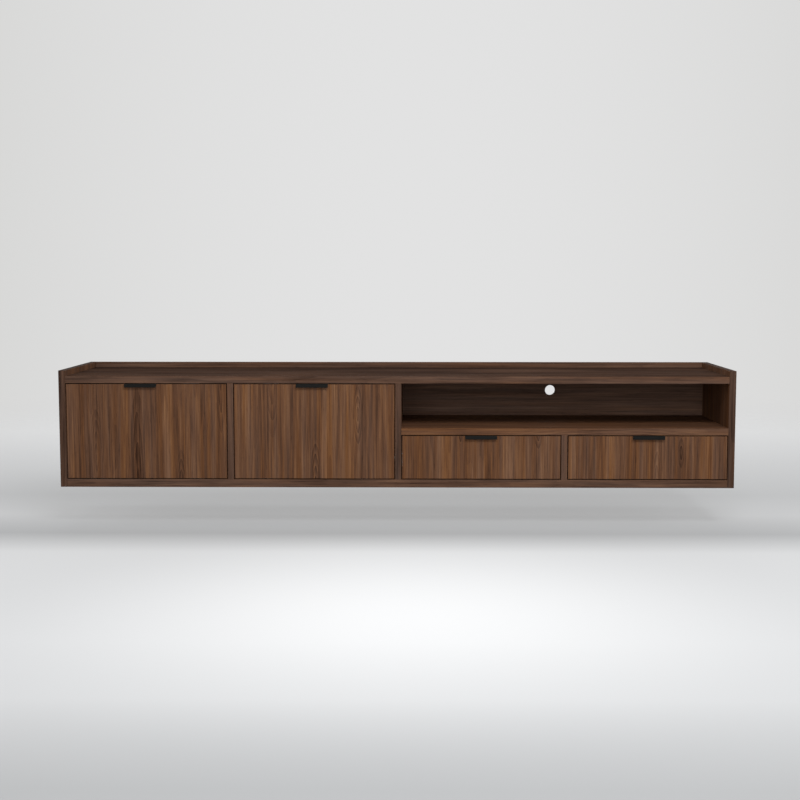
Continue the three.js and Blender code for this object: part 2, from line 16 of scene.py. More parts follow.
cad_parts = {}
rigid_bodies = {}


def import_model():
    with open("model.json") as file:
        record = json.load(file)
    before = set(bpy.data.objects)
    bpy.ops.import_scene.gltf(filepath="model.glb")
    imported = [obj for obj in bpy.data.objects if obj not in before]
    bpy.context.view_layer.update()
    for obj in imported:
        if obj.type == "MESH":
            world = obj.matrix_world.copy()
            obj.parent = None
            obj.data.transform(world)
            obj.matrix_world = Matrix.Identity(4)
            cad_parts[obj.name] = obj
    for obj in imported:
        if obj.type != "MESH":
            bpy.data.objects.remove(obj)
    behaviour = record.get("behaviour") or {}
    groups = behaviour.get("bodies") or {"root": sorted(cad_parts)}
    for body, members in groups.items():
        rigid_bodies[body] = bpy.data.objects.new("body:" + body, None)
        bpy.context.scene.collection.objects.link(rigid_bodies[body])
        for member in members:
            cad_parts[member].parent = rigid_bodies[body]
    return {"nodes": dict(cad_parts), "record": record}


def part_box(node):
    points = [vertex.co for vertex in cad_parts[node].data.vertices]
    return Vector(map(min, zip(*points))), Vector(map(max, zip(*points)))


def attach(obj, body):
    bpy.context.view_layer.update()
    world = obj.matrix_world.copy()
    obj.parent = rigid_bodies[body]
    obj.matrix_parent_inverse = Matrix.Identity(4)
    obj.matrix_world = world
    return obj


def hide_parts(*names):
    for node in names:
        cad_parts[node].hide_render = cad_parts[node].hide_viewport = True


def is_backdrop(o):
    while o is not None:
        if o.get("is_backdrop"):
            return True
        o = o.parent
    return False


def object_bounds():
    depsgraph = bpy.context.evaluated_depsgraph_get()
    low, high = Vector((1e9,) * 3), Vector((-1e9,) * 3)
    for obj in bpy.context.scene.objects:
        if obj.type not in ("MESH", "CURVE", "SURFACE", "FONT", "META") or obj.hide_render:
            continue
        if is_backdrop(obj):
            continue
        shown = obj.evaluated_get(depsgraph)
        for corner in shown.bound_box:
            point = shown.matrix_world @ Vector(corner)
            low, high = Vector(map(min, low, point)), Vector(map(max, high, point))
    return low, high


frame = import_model()

MM = 0.001
UP = Vector((0, 0, 1))
FRONT = Vector((0, -1, 0))
REAR = Vector((0, 1, 0))
RIGHT = Vector((1, 0, 0))
# A face looks a given way where the cosine between its normal and that way is over this
SQUARE = 0.9
MERGE_DISTANCE = 0.002 * MM
FLAT_ANGLE = math.radians(1)
SHARP_ANGLE = math.radians(35)
FLAPS = ("left_flap", "right_flap")
DRAWERS = ("left_drawer", "right_drawer")
Solid = bpy.types.Object
Material = bpy.types.Material
Tree = bpy.types.NodeTree
Node = bpy.types.Node
Socket = bpy.types.NodeSocket
Link = Node | Socket
Places = Sequence[float] | Vector
log = logging.getLogger("media_console")


class Side(Enum):
    """A side or an end, by the name that the frame's nodes give it."""

    LEFT = "left"
    RIGHT = "right"


class Slot(Enum):
    """The record's material slots."""

    VENEER = "walnut_veneer"
    COAT = "black_powder_coat"
    BIRCH = "birch_plywood"
    NICKEL = "nickel_plated_hardware"
    ZINC = "zinc_plated_steel"
    PLASTIC = "grey_plastic"
    PINE = "pine_batten"


# Modelling steps that every piece shares


def select_only(piece: Solid) -> None:
    """Makes one piece the only selected object, and the active one.

    Args:
        piece: The object to select.
    """
    bpy.ops.object.select_all(action="DESELECT")
    piece.select_set(True)
    bpy.context.view_layer.objects.active = piece


def settle(name: str) -> Solid:
    """Names the primitive that was just added and puts its place into its mesh.

    Args:
        name: The piece's name.

    Returns:
        The piece, which then sits at the origin, unturned and unscaled.
    """
    piece = bpy.context.object
    piece.name = piece.data.name = name
    bpy.ops.object.transform_apply(location=True, rotation=True, scale=True)
    return piece


def block(name: str, low: Places, high: Places) -> Solid:
    """Starts a piece as a cube between two corners.

    Args:
        name: The piece's name.
        low: The lowest corner.
        high: The highest corner.

    Returns:
        The new piece.
    """
    low, high = Vector(low), Vector(high)
    bpy.ops.object.select_all(action="DESELECT")
    bpy.ops.mesh.primitive_cube_add(size=1, location=(low + high) / 2, scale=high - low)
    return settle(name)


def rod(name: str, radius: float, start: Places, end: Places, sides: int = 48) -> Solid:
    """Starts a piece as a cylinder between two points.

    Args:
        name: The piece's name.
        radius: The cylinder's radius.
        start: The middle of its first end.
        end: The middle of its other end.
        sides: How many faces go round it.

    Returns:
        The new piece.
    """
    start, end = Vector(start), Vector(end)
    turn = (end - start).to_track_quat("Z", "Y").to_euler()
    bpy.ops.object.select_all(action="DESELECT")
    bpy.ops.mesh.primitive_cylinder_add(
        vertices=sides, radius=radius, depth=(end - start).length, location=(start + end) / 2, rotation=turn)
    return settle(name)


def prism(name: str, points: Sequence[Places], travel: Places) -> Solid:
    """Draws a closed outline point by point and extrudes it.

    Args:
        name: The piece's name.
        points: The outline's corners, all in one plane.
        travel: How far and which way the outline is extruded.

    Returns:
        The new piece.
    """
    bpy.ops.object.select_all(action="DESELECT")
    bpy.ops.mesh.primitive_plane_add(size=MM, location=points[0])
    piece = settle(name)
    bpy.ops.object.mode_set(mode="EDIT")
    bpy.ops.mesh.select_mode(type="VERT")
    bpy.ops.mesh.select_all(action="SELECT")
    bpy.ops.mesh.merge(type="CENTER")
    for last, point in zip(points, points[1:]):
        step = Vector(point) - Vector(last)
        bpy.ops.mesh.extrude_region_move(TRANSFORM_OT_translate={"value": step})
    bpy.ops.mesh.select_all(action="SELECT")
    bpy.ops.mesh.edge_face_add()
    bpy.ops.mesh.extrude_region_move(TRANSFORM_OT_translate={"value": Vector(travel)})
    bpy.ops.mesh.select_all(action="SELECT")
    bpy.ops.mesh.normals_make_consistent(inside=False)
    bpy.ops.object.mode_set(mode="OBJECT")
    return piece


def finish_modifier(piece: Solid, kind: str, **settings: object) -> None:
    """Adds a modifier to a piece and applies it.

    Args:
        piece: The piece to change.
        kind: The modifier's type.
        settings: The modifier's own settings.
    """
    select_only(piece)
    modifier = piece.modifiers.new(kind.title(), kind)
    for key, value in settings.items():
        setattr(modifier, key, value)
    bpy.ops.object.modifier_apply(modifier=modifier.name)


def cut(piece: Solid, *tools: Solid) -> Solid:
    """Cuts other solids out of a piece and removes them.

    Args:
        piece: The piece that stays.
        tools: The solids that cut it.

    Returns:
        The piece.
    """
    for tool in tools:
        finish_modifier(piece, "BOOLEAN", operation="DIFFERENCE", object=tool, solver="EXACT")
        bpy.data.objects.remove(tool)
    return piece


def ease(piece: Solid, width: float, segments: int = 2) -> Solid:
    """Rounds a piece's sharp edges a little and shades it smooth between them.

    Args:
        piece: The piece to round.
        width: The width of each rounding.
        segments: How many faces go round it.

    Returns:
        The piece.
    """
    finish_modifier(piece, "BEVEL", width=width, segments=segments, limit_method="ANGLE",
                    angle_limit=SHARP_ANGLE, use_clamp_overlap=True, harden_normals=False)
    select_only(piece)
    bpy.ops.object.shade_smooth_by_angle(angle=SHARP_ANGLE)
    finish_modifier(piece, "WEIGHTED_NORMAL", mode="FACE_AREA", weight=100, keep_sharp=True)
    return piece


def copy_to(piece: Solid, name: str, place: Matrix) -> Solid:
    """Copies a piece with a mesh of its own and moves that mesh.

    Args:
        piece: The piece to copy.
        name: The copy's name.
        place: The move from the piece's place to the copy's.

    Returns:
        The copy.
    """
    copy = piece.copy()
    copy.data = piece.data.copy()
    copy.name = copy.data.name = name
    copy.data.transform(place)
    bpy.context.scene.collection.objects.link(copy)
    return copy


def dress(piece: Solid, finish: Material, body: str, slot: Slot, *nodes: str) -> None:
    """Gives a piece its finish and its body, and hides the nodes that it stands for.

    Args:
        piece: The finished piece.
        finish: Its material.
        body: The body that it moves with.
        slot: The record's material slot; not used.
        nodes: The frame's nodes that it replaces.
    """
    if not piece.data.materials:
        piece.data.materials.append(finish)
    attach(piece, body)
    if nodes:
        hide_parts(*nodes)


def band_faces(piece: Solid, chosen: Callable[[Vector], bool], finish: Material) -> None:
    """Gives some of a piece's faces a finish of their own, as an edge band has.

    Args:
        piece: The piece, which already has its main finish.
        chosen: Says from a face's normal whether the face gets the finish.
        finish: The material of those faces.
    """
    piece.data.materials.append(finish)
    index = len(piece.data.materials) - 1
    for face in piece.data.polygons:
        if chosen(face.normal):
            face.material_index = index


def faces_front(normal: Vector) -> bool:
    """Says from its normal whether a face looks to the front."""
    return normal.dot(FRONT) > SQUARE


def faces_up(normal: Vector) -> bool:
    """Says from its normal whether a face looks up."""
    return normal.dot(UP) > SQUARE


def finish_board(piece: Solid, body: str, slot: Slot, node: str, edge_round: float, finish: Material,
                 *bands: tuple[Callable[[Vector], bool], Material]) -> None:
    """Rounds a board's edges, gives its faces and its edge bands their finishes, and dresses it.

    Args:
        piece: The board, cut and bored.
        body: The body that it moves with.
        slot: The record's material slot.
        node: The frame's node that it replaces.
        edge_round: How far its edges are rounded.
        finish: The finish of its faces.
        bands: For each edge band, which faces it covers, and its finish.
    """
    piece.data.materials.clear()
    piece.data.materials.append(finish)
    ease(piece, edge_round)
    for chosen, band in bands:
        band_faces(piece, chosen, band)
    dress(piece, finish, body, slot, node)


def reworked(name: str, node: str) -> Solid:
    """Starts a piece from a copy of a node's own mesh, with its triangles merged back into flat faces.

    Args:
        name: The piece's name.
        node: The frame's node.

    Returns:
        The new piece.
    """
    source = frame["nodes"][node]
    piece = bpy.data.objects.new(name, source.data.copy())
    piece.data.name = name
    piece.data.transform(source.matrix_world)
    piece.data.materials.clear()
    bpy.context.scene.collection.objects.link(piece)
    select_only(piece)
    bpy.ops.object.mode_set(mode="EDIT")
    bpy.ops.mesh.select_mode(type="VERT")
    bpy.ops.mesh.select_all(action="SELECT")
    bpy.ops.mesh.remove_doubles(threshold=MERGE_DISTANCE)
    bpy.ops.mesh.dissolve_limited(angle_limit=FLAT_ANGLE)
    bpy.ops.mesh.normals_make_consistent(inside=False)
    bpy.ops.object.mode_set(mode="OBJECT")
    return piece


# Materials


def linear(code: str) -> tuple[float, float, float, float]:
    """Turns an sRGB hex colour into a linear one.

    Args:
        code: Six hex digits.

    Returns:
        Red, green, blue and an alpha of 1.
    """
    parts = [int(code[i:i + 2], 16) / 255 for i in (0, 2, 4)]
    red, green, blue = (c / 12.92 if c <= 0.04045 else ((c + 0.055) / 1.055) ** 2.4 for c in parts)
    return red, green, blue, 1.0


def add_node(tree: Tree, kind: str, inputs: dict | None = None,
             stops: Sequence[tuple[float, object]] = (), **settings: object) -> Node:
    """Adds one node with its settings, links and colour stops.

    Args:
        tree: The node tree that gets the node.
        kind: The node's type, without ShaderNode.
        inputs: For each input, by its name or number: a value, an output socket, or a node for its first output.
        stops: The place and colour, or grey level, of each stop of a colour ramp.
        settings: The node's own properties.

    Returns:
        The node.
    """
    node = tree.nodes.new("ShaderNode" + kind)
    for key, value in settings.items():
        setattr(node, key, value)
    for key, value in (inputs or {}).items():
        if isinstance(value, Node):
            value = value.outputs[0]
        if isinstance(value, Socket):
            tree.links.new(value, node.inputs[key])
        else:
            node.inputs[key].default_value = value
    if stops:
        elements = node.color_ramp.elements
        while len(elements) < len(stops):
            elements.new(1.0)
        for element, (place, colour) in zip(elements, stops):
            element.position = place
            element.color = (colour, colour, colour, 1.0) if isinstance(colour, float) else colour
    return node


def new_material(name: str) -> tuple[Material, Tree]:
    """Starts a material with an empty node tree.

    Args:
        name: The material's name.

    Returns:
        The material and its node tree.
    """
    material = bpy.data.materials.new(name)
    material.use_nodes = True
    material.node_tree.nodes.clear()
    return material, material.node_tree


@dataclass(frozen=True)
class Finish:
    """A finish, whose kinds say what their surface gives the shader."""

    name: str

    def surface(self, tree: Tree, place: Link) -> dict[str, object]:
        """Draws the surface on the piece's own coordinates, and returns the shader's inputs."""
        raise NotImplementedError

    def material(self) -> Material:
        """Builds the material from the finish's surface.

        Returns:
            The material.
        """
        material, tree = new_material(self.name)
        inputs = self.surface(tree, add_node(tree, "TexCoord").outputs["Object"])
        add_node(tree, "OutputMaterial", {"Surface": add_node(tree, "BsdfPrincipled", inputs)})
        return material


class Grain(Enum):
    """The axis that a board's grain runs along, as its number."""

    LONG = 0
    DEEP = 1
    UPRIGHT = 2


class Tone(Enum):
    """How light one strip of veneer is, on the scale of the walnut's colour ramp."""

    DARK = 0.40
    DUSKY = 0.45
    PLAIN = 0.50
    WARM = 0.56
    GOLDEN = 0.63


@dataclass(frozen=True)
class Figure:
    """One cathedral or eye in a leaf of veneer, where the knife has cut growth rings nearly flat.

    The rings are long thin ellipses, half_width by half_height to the outermost one, round a centre that may lie
    past the leaf's end, so that only an arch of each ring shows.
    """

    across: float
    height: float
    half_width: float
    half_height: float
    rings: float = 4.0
    depth: float = 0.22
    core: float = 0.0


@dataclass(frozen=True)
class Leaf:
    """The strips and figures on one face, across from its left edge and up from its lower edge."""

    strips: tuple[tuple[float, Tone], ...]
    figures: tuple[Figure, ...]


@dataclass(frozen=True)
class Mark:
    """One kind of mark in veneer: how wide and how long it is, and how many finer layers its noise has."""

    width: float
    length: float
    detail: float = 1.0


# The wave texture's scale for one ring in each unit of length
ONE_RING = 2 * math.pi / 20

# Walnut from its darkest streaks to its lightest
WALNUT_TONES = (
    (0.00, linear("2f1f17")), (0.20, linear("493225")), (0.36, linear("593e2e")), (0.50, linear("664632")),
    (0.62, linear("714f37")), (0.80, linear("815b3f")), (1.00, linear("98734f")),
)


@dataclass(frozen=True)
class Walnut(Finish):
    """Sliced walnut veneer under a matt lacquer.

    The knife leaves long streaks along the grain, strips of one tone a few centimetres wide, short dark pores, and
    on the fronts some cathedrals. Some strips are a greyer brown and some a warmer one. The lacquer is matt, so the
    eye sees hardly any gloss. Real pores are about 0.3 mm wide, and are drawn coarser so that they show.

    weights says how much the streaks, veins, patches and growth rings change the tone, and a pair that is named fade
    is the range that a mark comes up over. face holds the left, right and lower edge of a figured face.
    painted_shade_line is where a rail stands on the board, and the tone in front of it is darkened there as a painted
    shade, the rail's shadow on the board.
    """

    grain: Grain
    tone: float = 0.5
    greyness: float = 0.0
    leaf: Leaf | None = None
    face: tuple[float, float, float] | None = None
    offset: float = 0.0
    weights: tuple[float, float, float, float] = (0.75, 0.50, 0.60, -0.10)
    gloss: float = 0.03
    # The painted shade in front of a rail: where the rail stands, how far the shade reaches, the strip at full shade,
    # and how dark it is
    painted_shade_line: float | None = None
    painted_shade_reach: float = 105 * MM
    painted_shade_strip: float = 35 * MM
    painted_shade_depth: float = 0.13

    streak: Mark = Mark(3.6 * MM, 170 * MM, 4.0)
    vein: Mark = Mark(9 * MM, 420 * MM, 2.0)
    patch: Mark = Mark(46 * MM, 420 * MM, 2.0)
    tint: Mark = Mark(15 * MM, 460 * MM)
    growth: Mark = Mark(55 * MM, 1100 * MM)
    growth_rings: float = 9.0
    ring_sharpness: float = 1.6
    pore: Mark = Mark(1.3 * MM, 30 * MM)
    pore_fade: tuple[float, float] = (0.60, 0.72)
    pore_shade: float = 0.16
    strip_border: float = 2.2 * MM
    strip_wander: float = 5 * MM
    figure_fade: tuple[float, float] = (0.75, 1.25)
    figure_heart: tuple[float, float] = (0.2, 0.95)
    figure_lift: float = 0.3
    noise_roughness: float = 0.55
    tint_fade: tuple[float, float] = (0.3, 0.7)
    tint_fullness: tuple[float, float] = (0.91, 1.07)
    roughness: tuple[float, float] = (0.58, 0.72)
    relief: float = 0.12
    relief_depth: float = 0.3 * MM
    relief_streak: float = 0.3

    def noise(self, tree: Tree, place: Link, mark: Mark) -> Link:
        """Adds the noise of one kind of mark, stretched along the grain.

        Args:
            tree: The material's node tree.
            place: The coordinates.
            mark: The kind of mark.

        Returns:
            The noise, from 0 to 1.
        """
        scale = [1 / mark.width] * 3
        scale[self.grain.value] = 1 / mark.length
        mapped = add_node(tree, "Mapping", {"Vector": place, "Location": (self.offset,) * 3, "Scale": scale})
        return add_node(tree, "TexNoise", {
            "Vector": mapped, "Scale": 1.0, "Detail": mark.detail, "Roughness": self.noise_roughness}).outputs["Fac"]

    def strip_tone(self, tree: Tree, place: Link, wobble: Link) -> Link:
        """Adds the tone of a front's strips, with soft borders that wander a little.

        Args:
            tree: The material's node tree.
            place: The coordinates.
            wobble: A slow noise that bends the borders.

        Returns:
            The tone, on the scale of the colour ramp.
        """
        left, right, _ = self.face
        width = right - left
        softness = self.strip_border / width
        wander = self.strip_wander / width
        split = add_node(tree, "SeparateXYZ", {0: place})
        share = add_node(tree, "MapRange", {0: split.outputs["X"], 1: left, 2: right}, clamp=False)
        bend = add_node(tree, "MapRange", {0: wobble, 3: -wander, 4: wander}, clamp=False)
        bent = add_node(tree, "Math", {0: share, 1: bend}, operation="ADD")
        stops = []
        starts = [start * MM / width for start, _ in self.leaf.strips]
        ends = starts[1:] + [1.0]
        for (_, tone), start, end in zip(self.leaf.strips, starts, ends):
            stops += [(start + softness, tone.value), (max(end - softness, start + softness), tone.value)]
        return add_node(tree, "ValToRGB", {0: bent}, stops=stops)

    def figure_tone(self, tree: Tree, place: Link, figure: Figure, tone: Link) -> Link:
        """Darkens a tone by one figure's rings and core.

        Args:
            tree: The material's node tree.
            place: The coordinates.
            figure: The figure.
            tone: The tone so far.

        Returns:
            The tone with the figure in it.
        """
        centre = Vector((self.face[0] + figure.across * MM, 0, self.face[2] + figure.height * MM))
        shape = Vector((figure.half_width * MM, 1, figure.half_height * MM))
        unit = add_node(tree, "Mapping", {"Vector": place, "Location": centre, "Scale": shape}, vector_type="TEXTURE")
        flat = add_node(tree, "VectorMath", {0: unit, 1: (1, 0, 1)}, operation="MULTIPLY")
        reach = add_node(tree, "VectorMath", {0: flat}, operation="LENGTH")
        rings = add_node(tree, "TexWave", {
            "Vector": flat, "Scale": figure.rings * ONE_RING, "Distortion": 2.4, "Detail": 2.0,
            "Detail Scale": 1.6, "Phase Offset": figure.across},
            wave_type="RINGS", rings_direction="Y", wave_profile="SAW")
        fade = add_node(tree, "MapRange", {
            0: reach.outputs["Value"], 1: self.figure_fade[0], 2: self.figure_fade[1], 3: 1.0, 4: 0.0},
            interpolation_type="SMOOTHSTEP")
        heart = add_node(tree, "MapRange", {
            0: reach.outputs["Value"], 1: self.figure_heart[0], 2: self.figure_heart[1], 3: -figure.core, 4: 0.0},
            interpolation_type="SMOOTHSTEP")
        line = add_node(tree, "MapRange", {
            0: rings.outputs["Fac"], 3: self.figure_lift * figure.depth, 4: -figure.depth})
        drawn = add_node(tree, "Math", {0: line, 1: fade, 2: tone}, operation="MULTIPLY_ADD")
        return add_node(tree, "Math", {0: drawn, 1: heart}, operation="ADD")

    def surface(self, tree: Tree, place: Link) -> dict[str, object]:
        """Draws the walnut.

        Args:
            tree: The material's node tree.
            place: The piece's own coordinates, in metres.

        Returns:
            The shader's inputs.
        """
        kinds = (self.streak, self.vein, self.patch, self.growth, self.pore, self.tint)
        streak, vein, patch, growth, pores, tint = (self.noise(tree, place, kind) for kind in kinds)
        rings = add_node(tree, "Math", {0: growth, 1: self.growth_rings}, operation="MULTIPLY")
        ring = add_node(tree, "Math", {0: rings}, operation="FRACT")
        ring = add_node(tree, "Math", {0: ring, 1: self.ring_sharpness}, operation="POWER")

        tone = self.tone
        if self.leaf:
            tone = self.strip_tone(tree, place, patch)
            for figure in self.leaf.figures:
                tone = self.figure_tone(tree, place, figure, tone)
        for marks, weight in zip((streak, vein, patch, ring), self.weights):
            centred = add_node(tree, "Math", {0: marks, 1: 0.5}, operation="SUBTRACT")
            tone = add_node(tree, "Math", {0: centred, 1: weight, 2: tone}, operation="MULTIPLY_ADD")
        pore = add_node(tree, "MapRange", {
            0: pores, 1: self.pore_fade[0], 2: self.pore_fade[1], 3: 0.0, 4: -self.pore_shade})
        tone = add_node(tree, "Math", {0: tone, 1: pore}, operation="ADD")
        # Painted shade: the tone darkens towards the rail, as the rail's shadow on the board
        if self.painted_shade_line is not None:
            split = add_node(tree, "SeparateXYZ", {0: place})
            corner = add_node(tree, "MapRange", {
                0: split.outputs["Y"], 1: self.painted_shade_line - self.painted_shade_reach,
                2: self.painted_shade_line - self.painted_shade_strip, 4: -self.painted_shade_depth}, interpolation_type="SMOOTHSTEP")
            tone = add_node(tree, "Math", {0: tone, 1: corner}, operation="ADD")
        colour = add_node(tree, "ValToRGB", {0: tone}, stops=WALNUT_TONES)
        least, most = (part * (1 - self.greyness) for part in self.tint_fullness)
        fullness = add_node(tree, "MapRange", {
            0: tint, 1: self.tint_fade[0], 2: self.tint_fade[1], 3: least, 4: most})
        colour = add_node(tree, "HueSaturation", {"Saturation": fullness, "Color": colour})

        relief = add_node(tree, "Math", {0: streak, 1: self.relief_streak, 2: pore}, operation="MULTIPLY_ADD")
        bump = add_node(tree, "Bump", {"Height": relief, "Strength": self.relief, "Distance": self.relief_depth})
        rough = add_node(tree, "MapRange", {0: streak, 3: self.roughness[0], 4: self.roughness[1]})
        return {"Base Color": colour, "Roughness": rough, "Specular IOR Level": self.gloss, "Normal": bump}


@dataclass(frozen=True)
class Metal(Finish):
    """A metal or its coating, with the fine grain that its making leaves.

    A plated part keeps a soft shine with faint mottling, and powder coat an even, slightly pebbled matt skin.
    """

    colour: str
    metallic: float = 1.0
    roughness: float = 0.5
    rough_below: float = 0.06
    rough_above: float = 0.08
    grain: float = 0.5 * MM
    relief: float = 0.06
    specular: float = 0.5
    stretch: tuple[float, float, float] = (1.0, 1.0, 1.0)
    cloud_scale: float = 60.0
    cloud_fade: tuple[float, float] = (0.3, 0.7)
    cloud_tones: tuple[float, float] = (0.82, 1.12)
    relief_depth: float = 0.1 * MM

    def surface(self, tree: Tree, place: Link) -> dict[str, object]:
        """Draws the metal.

        Args:
            tree: The material's node tree.
            place: The piece's own coordinates, in metres.

        Returns:
            The shader's inputs.
        """
        scale = [part / self.grain for part in self.stretch]
        mapped = add_node(tree, "Mapping", {"Vector": place, "Scale": scale})
        grain = add_node(tree, "TexNoise", {"Vector": mapped, "Scale": 1.0, "Detail": 3.0})
        cloud = add_node(tree, "TexNoise", {"Vector": place, "Scale": self.cloud_scale, "Detail": 2.0})
        tones = [tuple(c * part for c in linear(self.colour)[:3]) + (1.0,) for part in self.cloud_tones]
        colour = add_node(tree, "ValToRGB", {0: cloud.outputs["Fac"]}, stops=list(zip(self.cloud_fade, tones)))
        rough = add_node(tree, "MapRange", {
            0: grain.outputs["Fac"], 3: self.roughness - self.rough_below, 4: self.roughness + self.rough_above})
        bump = add_node(tree, "Bump", {
            "Height": grain.outputs["Fac"], "Strength": self.relief, "Distance": self.relief_depth})
        return {"Base Color": colour, "Metallic": self.metallic, "Roughness": rough,
                "Specular IOR Level": self.specular, "Normal": bump}


@dataclass(frozen=True)
class PaleWood(Finish):
    """A pale wood with fine grain: birch plywood under clear lacquer, or planed pine.

    Growth rings show as soft stripes along the grain. On plywood's edges the glued layers show as light and dark
    lines, which layers gives the axis and layer_height the pitch of.
    """

    light: str
    dark: str
    grain: Grain
    ring: float
    layers: Grain | None = None
    layer_height: float = 1.5 * MM
    layer_contrast: float = 0.55
    ring_stretch: float = 40.0
    tone_fade: tuple[float, float] = (0.32, 0.78)
    roughness: float = 0.55
    specular: float = 0.3
    relief: float = 0.1
    relief_depth: float = 0.2 * MM

    def surface(self, tree: Tree, place: Link) -> dict[str, object]:
        """Draws the wood.

        Args:
            tree: The material's node tree.
            place: The piece's own coordinates, in metres.

        Returns:
            The shader's inputs.
        """
        scale = [1 / self.ring] * 3
        scale[self.grain.value] = 1 / (self.ring * self.ring_stretch)
        mapped = add_node(tree, "Mapping", {"Vector": place, "Scale": scale})
        rings = add_node(tree, "TexNoise", {"Vector": mapped, "Scale": 1.0, "Detail": 4.0})
        share = rings.outputs["Fac"]
        if self.layers is not None:
            split = add_node(tree, "SeparateXYZ", {0: place})
            count = add_node(tree, "Math", {
                0: split.outputs[self.layers.value], 1: 2 * self.layer_height}, operation="DIVIDE")
            saw = add_node(tree, "Math", {0: count}, operation="FRACT")
            layer = add_node(tree, "Math", {0: saw, 1: 0.5}, operation="GREATER_THAN")
            share = add_node(tree, "Math", {0: layer, 1: self.layer_contrast, 2: share}, operation="MULTIPLY_ADD")
        colour = add_node(tree, "ValToRGB", {0: share}, stops=[
            (at, linear(code)) for at, code in zip(self.tone_fade, (self.light, self.dark))])
        bump = add_node(tree, "Bump", {"Height": share, "Strength": self.relief, "Distance": self.relief_depth})
        return {"Base Color": colour, "Roughness": self.roughness, "Specular IOR Level": self.specular,
                "Normal": bump}


# Veneer leaves of the four fronts and the shelf's edge, in millimetres from each one's lower left corner


LEFT_FLAP_LEAF = Leaf(
    strips=(
        (0, Tone.WARM), (34, Tone.DUSKY), (130, Tone.PLAIN), (141, Tone.DUSKY), (156, Tone.WARM),
        (184, Tone.DUSKY), (226, Tone.PLAIN), (251, Tone.DUSKY), (286, Tone.GOLDEN), (315, Tone.DUSKY),
        (344, Tone.PLAIN), (360, Tone.WARM), (399, Tone.DARK), (411, Tone.PLAIN), (450, Tone.DUSKY),
    ),
    figures=(
        Figure(across=209, height=-30, half_width=25, half_height=320, rings=4, depth=0.20, core=0.22),
        Figure(across=338, height=-40, half_width=16, half_height=120, rings=4, depth=0.24),
        Figure(across=86, height=60, half_width=22, half_height=170, rings=5, depth=0.14),
        Figure(across=458, height=330, half_width=13, half_height=190, rings=3, depth=0.26),
    ),
)
RIGHT_FLAP_LEAF = Leaf(
    strips=(
        (0, Tone.WARM), (56, Tone.DUSKY), (102, Tone.PLAIN), (144, Tone.WARM), (164, Tone.DUSKY),
        (176, Tone.PLAIN), (199, Tone.WARM), (209, Tone.PLAIN), (234, Tone.DUSKY), (260, Tone.WARM),
        (314, Tone.GOLDEN), (352, Tone.PLAIN), (366, Tone.DUSKY), (426, Tone.WARM), (448, Tone.PLAIN),
    ),
    figures=(
        Figure(across=240, height=-20, half_width=17, half_height=130, rings=4, depth=0.30),
        Figure(across=366, height=190, half_width=14, half_height=95, rings=3, depth=0.26, core=-0.16),
        Figure(across=112, height=330, half_width=22, half_height=200, rings=4, depth=0.16),
    ),
)
LEFT_DRAWER_LEAF = Leaf(
    strips=(
        (0, Tone.WARM), (14, Tone.PLAIN), (58, Tone.DUSKY), (100, Tone.GOLDEN), (150, Tone.DARK),
        (162, Tone.PLAIN), (206, Tone.WARM), (224, Tone.DUSKY), (276, Tone.PLAIN), (295, Tone.GOLDEN),
        (322, Tone.WARM), (374, Tone.DUSKY), (400, Tone.WARM), (426, Tone.PLAIN),
    ),
    figures=(
        Figure(across=402, height=160, half_width=13, half_height=70, rings=3, depth=0.30),
        Figure(across=172, height=150, half_width=8, half_height=50, rings=2, depth=0.30, core=0.12),
    ),
)
RIGHT_DRAWER_LEAF = Leaf(
    strips=(
        (0, Tone.PLAIN), (34, Tone.DUSKY), (86, Tone.PLAIN), (103, Tone.GOLDEN), (136, Tone.PLAIN),
        (163, Tone.PLAIN), (184, Tone.DUSKY), (217, Tone.PLAIN), (245, Tone.DARK), (253, Tone.PLAIN),
        (297, Tone.DUSKY), (348, Tone.PLAIN), (368, Tone.DARK), (385, Tone.PLAIN), (403, Tone.WARM),
        (430, Tone.DARK),
    ),
    figures=(
        Figure(across=333, height=78, half_width=9, half_height=45, rings=2, depth=0.26, core=0.10),
        Figure(across=262, height=-10, half_width=14, half_height=120, rings=3, depth=0.16),
    ),
)
SHELF_LEAF = Leaf(
    strips=((0, Tone.PLAIN), (190, Tone.WARM), (520, Tone.PLAIN), (760, Tone.WARM)),
    figures=(Figure(across=620, height=-30, half_width=300, half_height=52, rings=6, depth=0.20, core=-0.04),),
)
# The streaks of a figured leaf are stronger than a plain board's, and its patches hardly show between the strips
FIGURED_WEIGHTS = (1.05, 0.45, 0.10, -0.09)


